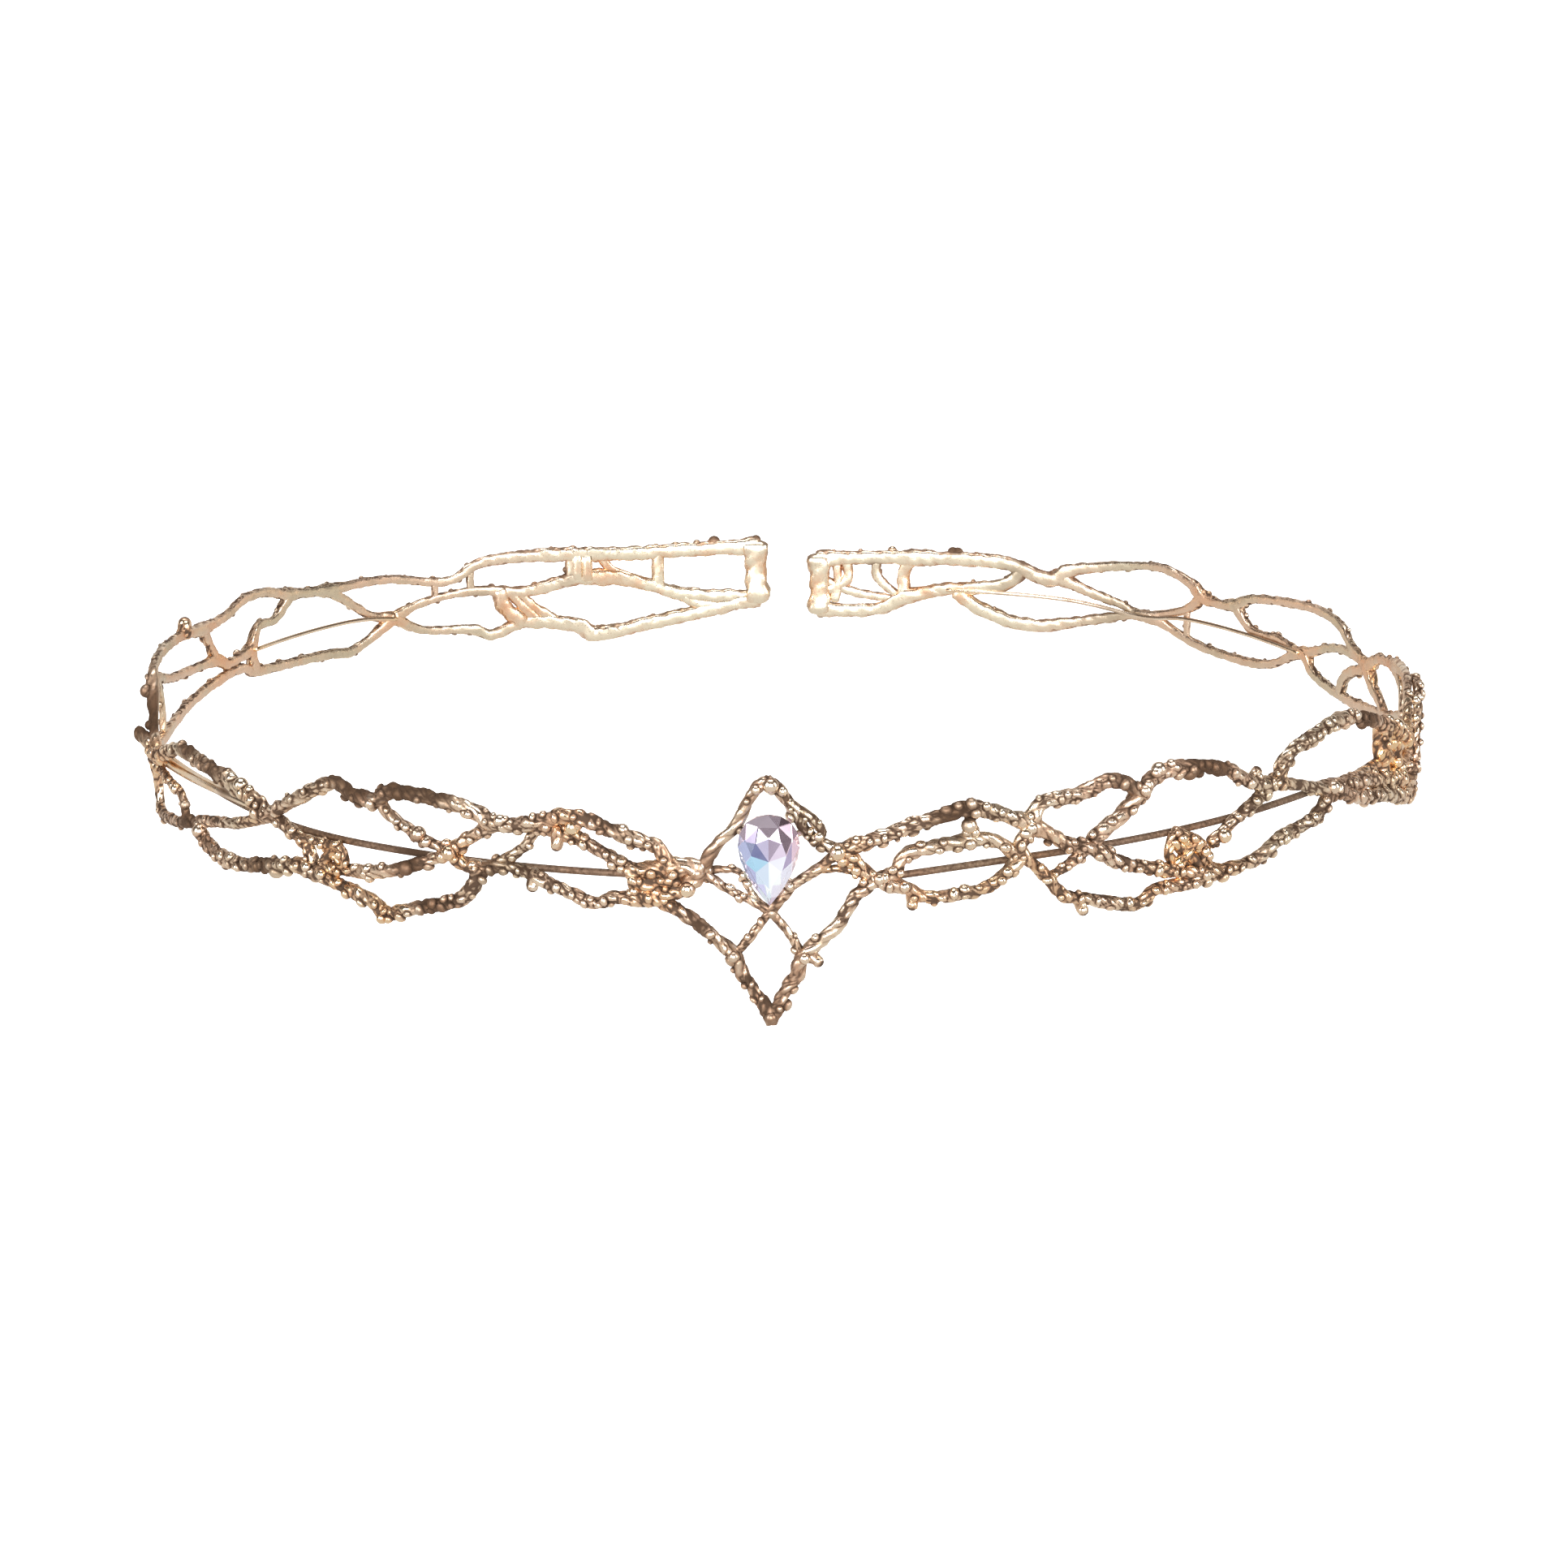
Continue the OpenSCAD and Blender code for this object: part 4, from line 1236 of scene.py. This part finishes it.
@dataclass
class VineWork:
    """One stretch of the circlet: its vines, and the grains, thorns and wires soldered to it.

    Its span is in degrees round the head, and its core is the thin wire behind the vines.
    """

    name: str
    vines: tuple[Vine, ...]
    span: tuple[float, float]
    seed: int
    bloom: float = 1.0
    wires: tuple[str, ...] = ()
    strands: tuple[Strand, ...] = ()
    core_width: float = 0.8
    core_lift: float = -0.7
    # Painted shade: how dark the core wire behind the vines is painted, as if shaded by them.
    wire_painted_shade: float = 0.0
    berry_width: float = 1.7
    thorn_widths: tuple[float, float] = (1.7, 1.2)
    thorn_bead: float = 1.25
    thorn_reach: float = 0.75

    def holds(self, angle: float) -> bool:
        """Whether an angle falls to this stretch."""
        return self.span[0] <= angle < self.span[1]

    def build(self, finish: bpy.types.Material) -> bpy.types.Object:
        """Casts the stretch.

        Args:
            finish: the metal.

        Returns:
            The piece.
        """
        casting, draw = Casting(), random.Random(self.seed)
        for vine in self.vines:
            casting.vine(vine, draw, self.bloom)
        for stops in self.wires:
            route = Route.read(stops, self.core_lift)
            casting.rod(route, (self.core_width,) * 2, WIRE, stain_and_shade=self.wire_painted_shade)
        for strand in self.strands:
            route = Route.read(strand.stops, strand.lift)
            casting.rod(route, strand.widths, strand.surface, flat=True)
        for angle, height in BERRIES:
            if self.holds(angle):
                casting.bud(angle, height, self.berry_width)
        for angle, height, width in BUDS:
            if self.holds(angle):
                casting.bud(angle, height, width)
        for angle, height, to_angle, to_height, proud in THORNS:
            if self.holds(angle):
                foot = (angle, height)
                tip = between(foot, (to_angle, to_height), self.thorn_reach)
                route = Route((foot, tip), (0.0, proud))
                end = casting.rod(route, self.thorn_widths, BARK, 10 * angle)
                casting.knob(end, self.thorn_bead)
        return dress(casting.finish(self.name), finish, "circlet_frame")


@dataclass
class Motif(VineWork):
    """The pointed centre, with the lugs that hold the crystal."""

    lug_widths: tuple[float, float] = (0.9, 0.63)
    lug_lifts: tuple[float, float] = (-0.2, -0.9)
    lug_reach: float = 0.8

    def build(self, finish: bpy.types.Material) -> bpy.types.Object:
        """Casts the motif, and solders its lugs in as a piece of their own.

        Args:
            finish: the metal.

        Returns:
            The motif.
        """
        lugs = Casting()
        for angle, height, to_angle, to_height in LUGS:
            foot = (angle, height)
            tip = between(foot, (to_angle, to_height), self.lug_reach)
            lugs.rod(Route((foot, tip), self.lug_lifts), self.lug_widths, WIRE)
        dress(lugs.finish("seat_lugs"), finish, "circlet_frame")
        return super().build(finish)


# Colours of the crystal's facets on its front and on its back, the coating's tint with painted
# reflections and shade: (across, up, colour).
FACET_TINTS_AND_REFLECTIONS: tuple[tuple[float, float, Colour], ...] = (
    (-1.0, 1.5, (0.17, 0.19, 0.38)), (-0.3, 2.2, (0.50, 0.48, 0.68)),
    (0.8, 1.9, (0.36, 0.30, 0.42)), (1.5, 0.7, (0.70, 0.62, 0.80)),
    (-1.3, 0.2, (0.38, 0.64, 0.84)), (0.3, -0.6, (0.98, 0.98, 1.0)),
    (1.2, -0.4, (0.80, 0.84, 0.96)), (-0.8, -1.3, (0.60, 0.72, 0.88)),
    (0.4, -2.0, (0.86, 0.94, 0.96)), (-1.6, 2.6, (0.10, 0.08, 0.13)),
    (1.6, 2.6, (0.30, 0.22, 0.28)), (-0.8, 3.9, (0.66, 0.58, 0.68)),
    (0.9, 3.6, (0.46, 0.38, 0.46)), (1.8, 3.4, (0.15, 0.10, 0.125)),
    (-1.8, 2.9, (0.17, 0.14, 0.175)), (-2.6, 1.6, (0.44, 0.50, 0.76)),
    (2.7, 1.5, (0.72, 0.56, 0.68)), (-2.7, 0.2, (0.52, 0.64, 0.90)),
    (2.4, -0.3, (0.86, 0.80, 0.94)), (1.8, 0.5, (0.40, 0.35, 0.54)),
    (-2.0, -1.3, (0.44, 0.48, 0.74)), (1.8, -1.6, (0.74, 0.76, 0.90)),
    (-1.3, -2.5, (0.60, 0.62, 0.88)), (-2.65, 2.9, (0.66, 0.54, 0.66)),
    (2.65, 3.1, (0.60, 0.44, 0.54)), (1.0, -3.0, (0.74, 0.74, 0.88)),
    (-0.4, -3.8, (0.64, 0.74, 0.84)), (0.4, -4.2, (0.62, 0.54, 0.68)),
)
BACK_FACET_TINTS_AND_REFLECTIONS: tuple[tuple[float, float, Colour], ...] = (
    (-1.5, 1.5, (0.55, 0.62, 0.90)), (1.5, 1.5, (0.72, 0.60, 0.84)),
    (-1.0, -1.5, (0.62, 0.82, 0.95)), (1.0, -1.5, (0.80, 0.78, 0.96)),
)


@dataclass
class PearCrystal:
    """The pear-cut crystal: a table, star, kite and girdle facets, and a pointed back.

    Shares are shares of the girdle's outline, and of the height above or below the girdle.
    """

    width: float = 6.25
    length: float = 9.5
    point_height: float = -3.0
    lift: float = 1.0
    crown: float = 1.3
    girdle: float = 0.3
    pavilion: float = 2.2
    table_share: float = 0.56
    bezel_share: float = 0.81
    bezel_rise: float = 0.6
    keel_share: float = 0.62
    keel_depth: float = 0.6
    culet_share: float = 0.08
    edge: float = 0.05
    widest: float = 109.5
    flat_angle: float = 1.2

    def outline(self, turn: float, share: float) -> tuple[float, float]:
        """A point of the pear outline, the point down at 0 degrees.

        Args:
            turn: degrees round the outline.
            share: size as a share of the girdle.

        Returns:
            Across and up, in millimetres.
        """
        a, widest = math.radians(turn), math.radians(self.widest)
        full = math.sin(widest) * math.sin(widest / 2)
        return (
            math.sin(a) * math.sin(a / 2) * self.width / 2 / full * share,
            -math.cos(a) * self.length / 2 * share,
        )

    def layers(self) -> list[tuple[float, float, int, float]]:
        """The rows of corners: share, height, how many and the first one's turn."""
        return [
            (self.table_share, self.girdle + self.crown, 10, 0.0),
            (self.bezel_share, self.girdle + self.bezel_rise * self.crown, 10, 18.0),
            (1.0, self.girdle, 20, 0.0),
            (1.0, 0.0, 20, 0.0),
            (self.keel_share, -self.keel_depth * self.pavilion, 10, 18.0),
            (self.culet_share, -self.pavilion, 5, 0.0),
        ]

    def cut(self) -> bmesh.types.BMesh:
        """Cuts the stone: a hull of its corners, with flat facets whole and sharp edges eased.

        Returns:
            The stone, lying flat with its table upwards.
        """
        stone = bmesh.new()
        for share, height, count, first in self.layers():
            for k in range(count):
                across, up = self.outline(first + 360 * k / count, share)
                stone.verts.new((across, up, height))
        hull = bmesh.ops.convex_hull(stone, input=stone.verts)
        spare = {v for v in hull["geom_interior"] if isinstance(v, bmesh.types.BMVert)}
        bmesh.ops.delete(stone, geom=list(spare), context="VERTS")
        flat = math.radians(self.flat_angle)
        bmesh.ops.dissolve_limit(stone, angle_limit=flat, verts=stone.verts, edges=stone.edges)
        table = max(stone.faces, key=lambda face: face.calc_center_median().z)
        bmesh.ops.poke(stone, faces=[table], offset=0.0)
        bmesh.ops.bevel(
            stone, geom=[e for e in stone.edges if e.calc_face_angle(1.0) > flat],
            offset=self.edge, affect="EDGES", segments=1, profile=0.5, material=-1,
            clamp_overlap=True,
        )
        bmesh.ops.recalc_face_normals(stone, faces=stone.faces)
        return stone

    def build(self, finish: bpy.types.Material) -> bpy.types.Object:
        """Cuts the crystal, paints its facets with their tints and painted reflections and shade,
        and sets it.

        Args:
            finish: the coated glass.

        Returns:
            The piece.
        """
        stone = self.cut()
        # Each facet takes the nearest row's colour: the coating's tint with painted reflection and
        # shade.
        layer = stone.faces.layers.float_color.new("tint_and_reflection")
        for face in stone.faces:
            middle = face.calc_center_median()
            tint_and_reflection = min(
                FACET_TINTS_AND_REFLECTIONS if middle.z > 0 else BACK_FACET_TINTS_AND_REFLECTIONS,
                key=lambda row: (row[0] - middle.x) ** 2 + (row[1] - middle.y) ** 2,
            )[2]
            face[layer] = (*tint_and_reflection, 1.0)
        place = Matrix.Translation(
            (0, -BAND.radius - self.lift, self.point_height + self.length / 2)
        )
        turn = Matrix.Rotation(math.radians(90), 4, "X")
        bmesh.ops.transform(stone, matrix=AT_REST @ place @ turn, verts=stone.verts)
        return dress(as_object(stone, "pear_stone"), finish, "pear_crystal")


@dataclass
class Studio:
    """The pale floor, the soft lights and the camera at the photograph's angle.

    The camera's distance is in millimetres and its turns are in degrees. The sizes of the floor
    and the lights are in metres.
    """

    distance: float = 390.0
    elevation: float = 13.25
    yaw: float = 0.84
    slope: float = 0.012
    focal_px: float = 3872.0
    frame_px: float = 1932.0
    middle_px: Spot = (961.6, 863.0)
    film_width: float = 36.0
    crown_middle: float = 0.012
    floor_size: float = 4.0
    sweep_start: float = 1.0
    sweep_bend: float = 3.0
    mirrored_depth: float = 0.02
    table_glow: Colour = (0.70, 0.655, 0.60)
    room_colour: Colour = (0.70, 0.58, 0.50)
    room_strength: float = 0.20

    def camera(self) -> bpy.types.Object:
        """Sets up the camera, as it stood to the band in the photograph.

        Returns:
            The camera.
        """
        turn, tilt = math.radians(self.yaw), math.radians(self.elevation)
        right = Vector((math.cos(turn), math.sin(turn), 0))
        back = Vector((-math.sin(turn), math.cos(turn), 0))
        look = back * math.cos(tilt) - Vector((0, 0, math.sin(tilt)))
        up = back * math.sin(tilt) + Vector((0, 0, math.cos(tilt)))
        look = (look - self.slope * math.sin(tilt) * right).normalized()
        right = (right - self.slope * math.cos(tilt) * up).normalized()
        up = right.cross(look).normalized()
        right = look.cross(up)
        spin = AT_REST.to_3x3().normalized()
        axes = [spin @ right, spin @ up, spin @ -look]
        camera = bpy.data.objects.new("camera", bpy.data.cameras.new("camera"))
        stand = Matrix.Translation(AT_REST @ (-self.distance * look))
        camera.matrix_world = stand @ Matrix(axes).transposed().to_4x4()
        lens = camera.data
        lens.sensor_width = self.film_width
        lens.lens = lens.sensor_width * self.focal_px / self.frame_px
        lens.shift_x = (self.frame_px / 2 - self.middle_px[0]) / self.frame_px
        lens.shift_y = (self.middle_px[1] - self.frame_px / 2) / self.frame_px
        lens.clip_start = 0.01
        bpy.context.scene.collection.objects.link(camera)
        bpy.context.scene.camera = camera
        return camera

    def light(
        self, name: str, place: tuple[float, float, float], size: tuple[float, float],
        power: float,
    ) -> None:
        """Adds a soft white box that faces the crown.

        Args:
            name: the light's name.
            place: where it stands, in metres.
            size: its width and height.
            power: in watts.
        """
        data = bpy.data.lights.new(name, "AREA")
        data.shape, data.size, data.size_y = "RECTANGLE", *size
        data.energy = power
        obj = bpy.data.objects.new(name, data)
        way = Vector(place) - Vector((0, 0, self.crown_middle))
        turn = way.to_track_quat("Z", "Y").to_matrix().to_4x4()
        obj.matrix_world = Matrix.Translation(place) @ turn
        bpy.context.scene.collection.objects.link(obj)

    def sheet(self, name: str, depth: float, paint: float, glow: Colour) -> bpy.types.Object:
        """Lays a pale sweep: a floor that curves up into a backdrop far behind the crown.

        Args:
            name: its name.
            depth: how far under the crown it lies, in metres.
            paint: how pale it is, from 0 to 1.
            glow: the light that it gives of its own.

        Returns:
            The sweep.
        """
        mesh = bmesh.new()
        bmesh.ops.create_grid(mesh, x_segments=2, y_segments=48, size=self.floor_size)
        for vert in mesh.verts:
            beyond = max(0.0, vert.co.y - self.sweep_start)
            vert.co.z = beyond**2 / self.sweep_bend - depth
        sheet = as_object(mesh, name)
        graph = Graph(name)
        graph.feed(graph.shader, {
            "Base Color": (paint,) * 3, "Roughness": 1.0, "Specular IOR Level": 0.0,
            "Emission Color": glow, "Emission Strength": 1.0,
        })
        sheet.data.materials.append(graph.material)
        return sheet

    def floor(self) -> None:
        """Lays the white floor, and under it the softer sheet that the metal mirrors instead."""
        floor = self.sheet("floor", depth=0.0, paint=0.9, glow=(1.0, 1.0, 1.0))
        floor.visible_glossy = False
        self.sheet("mirrored_table", self.mirrored_depth, paint=0.0, glow=self.table_glow)

    def surround(self) -> None:
        """Sets the dim room that the metal mirrors between the lights."""
        world = bpy.data.worlds.new("studio")
        world.use_nodes = True
        room = world.node_tree.nodes["Background"]
        room.inputs["Color"].default_value = (*self.room_colour, 1.0)
        room.inputs["Strength"].default_value = self.room_strength
        bpy.context.scene.world = world

    def build(self) -> None:
        """Sets the studio up."""
        self.camera()
        self.floor()
        self.surround()
        bpy.context.scene.view_settings.view_transform = "Standard"
        self.light("overhead", place=(0.0, 0.10, 1.2), size=(1.0, 0.7), power=7.0)
        self.light("left_box", place=(-1.0, -0.7, 0.5), size=(0.45, 0.8), power=7.0)
        self.light("right_box", place=(1.1, -0.5, 0.45), size=(0.4, 0.8), power=7.0)
        self.light("front_box", place=(0.05, -1.5, 0.50), size=(1.5, 0.8), power=27.0)


def main() -> None:
    """Builds the studio, then the circlet stretch by stretch, then the crystal."""
    logging.basicConfig(level=logging.INFO, format="%(name)s: %(message)s")
    Studio().build()
    metal = RoseGold().material("rose_gold")
    stretches = (
        Motif("centre_motif", MOTIF_VINES, (-7.0, 7.0), seed=11, bloom=0.6),
        VineWork(
            "left_wing", LEFT_WING_VINES, (-75.2, -7.0), seed=21, wires=CORE_WIRES[:1],
            strands=LEFT_WING_STRANDS, wire_painted_shade=0.7,
        ),
        VineWork(
            "right_wing", RIGHT_WING_VINES, (7.0, 85.0), seed=31, wires=CORE_WIRES[2:3],
            strands=RIGHT_WING_STRANDS, wire_painted_shade=0.7,
        ),
        VineWork(
            "left_back", LEFT_BACK_VINES, (-181.0, -75.2), seed=41, wires=CORE_WIRES[1:2],
            strands=LEFT_BACK_STRANDS, thorn_widths=(2.0, 1.7), thorn_bead=1.7,
            thorn_reach=0.95, core_width=0.6,
        ),
        VineWork(
            "right_back", RIGHT_BACK_VINES, (85.0, 181.0), seed=51, wires=CORE_WIRES[3:],
            strands=RIGHT_BACK_STRANDS, core_width=0.6,
        ),
    )
    for stretch in stretches:
        stretch.build(metal)
    PearCrystal().build(OpalGlass().material("coated_glass"))


if __name__ == "__main__":
    main()
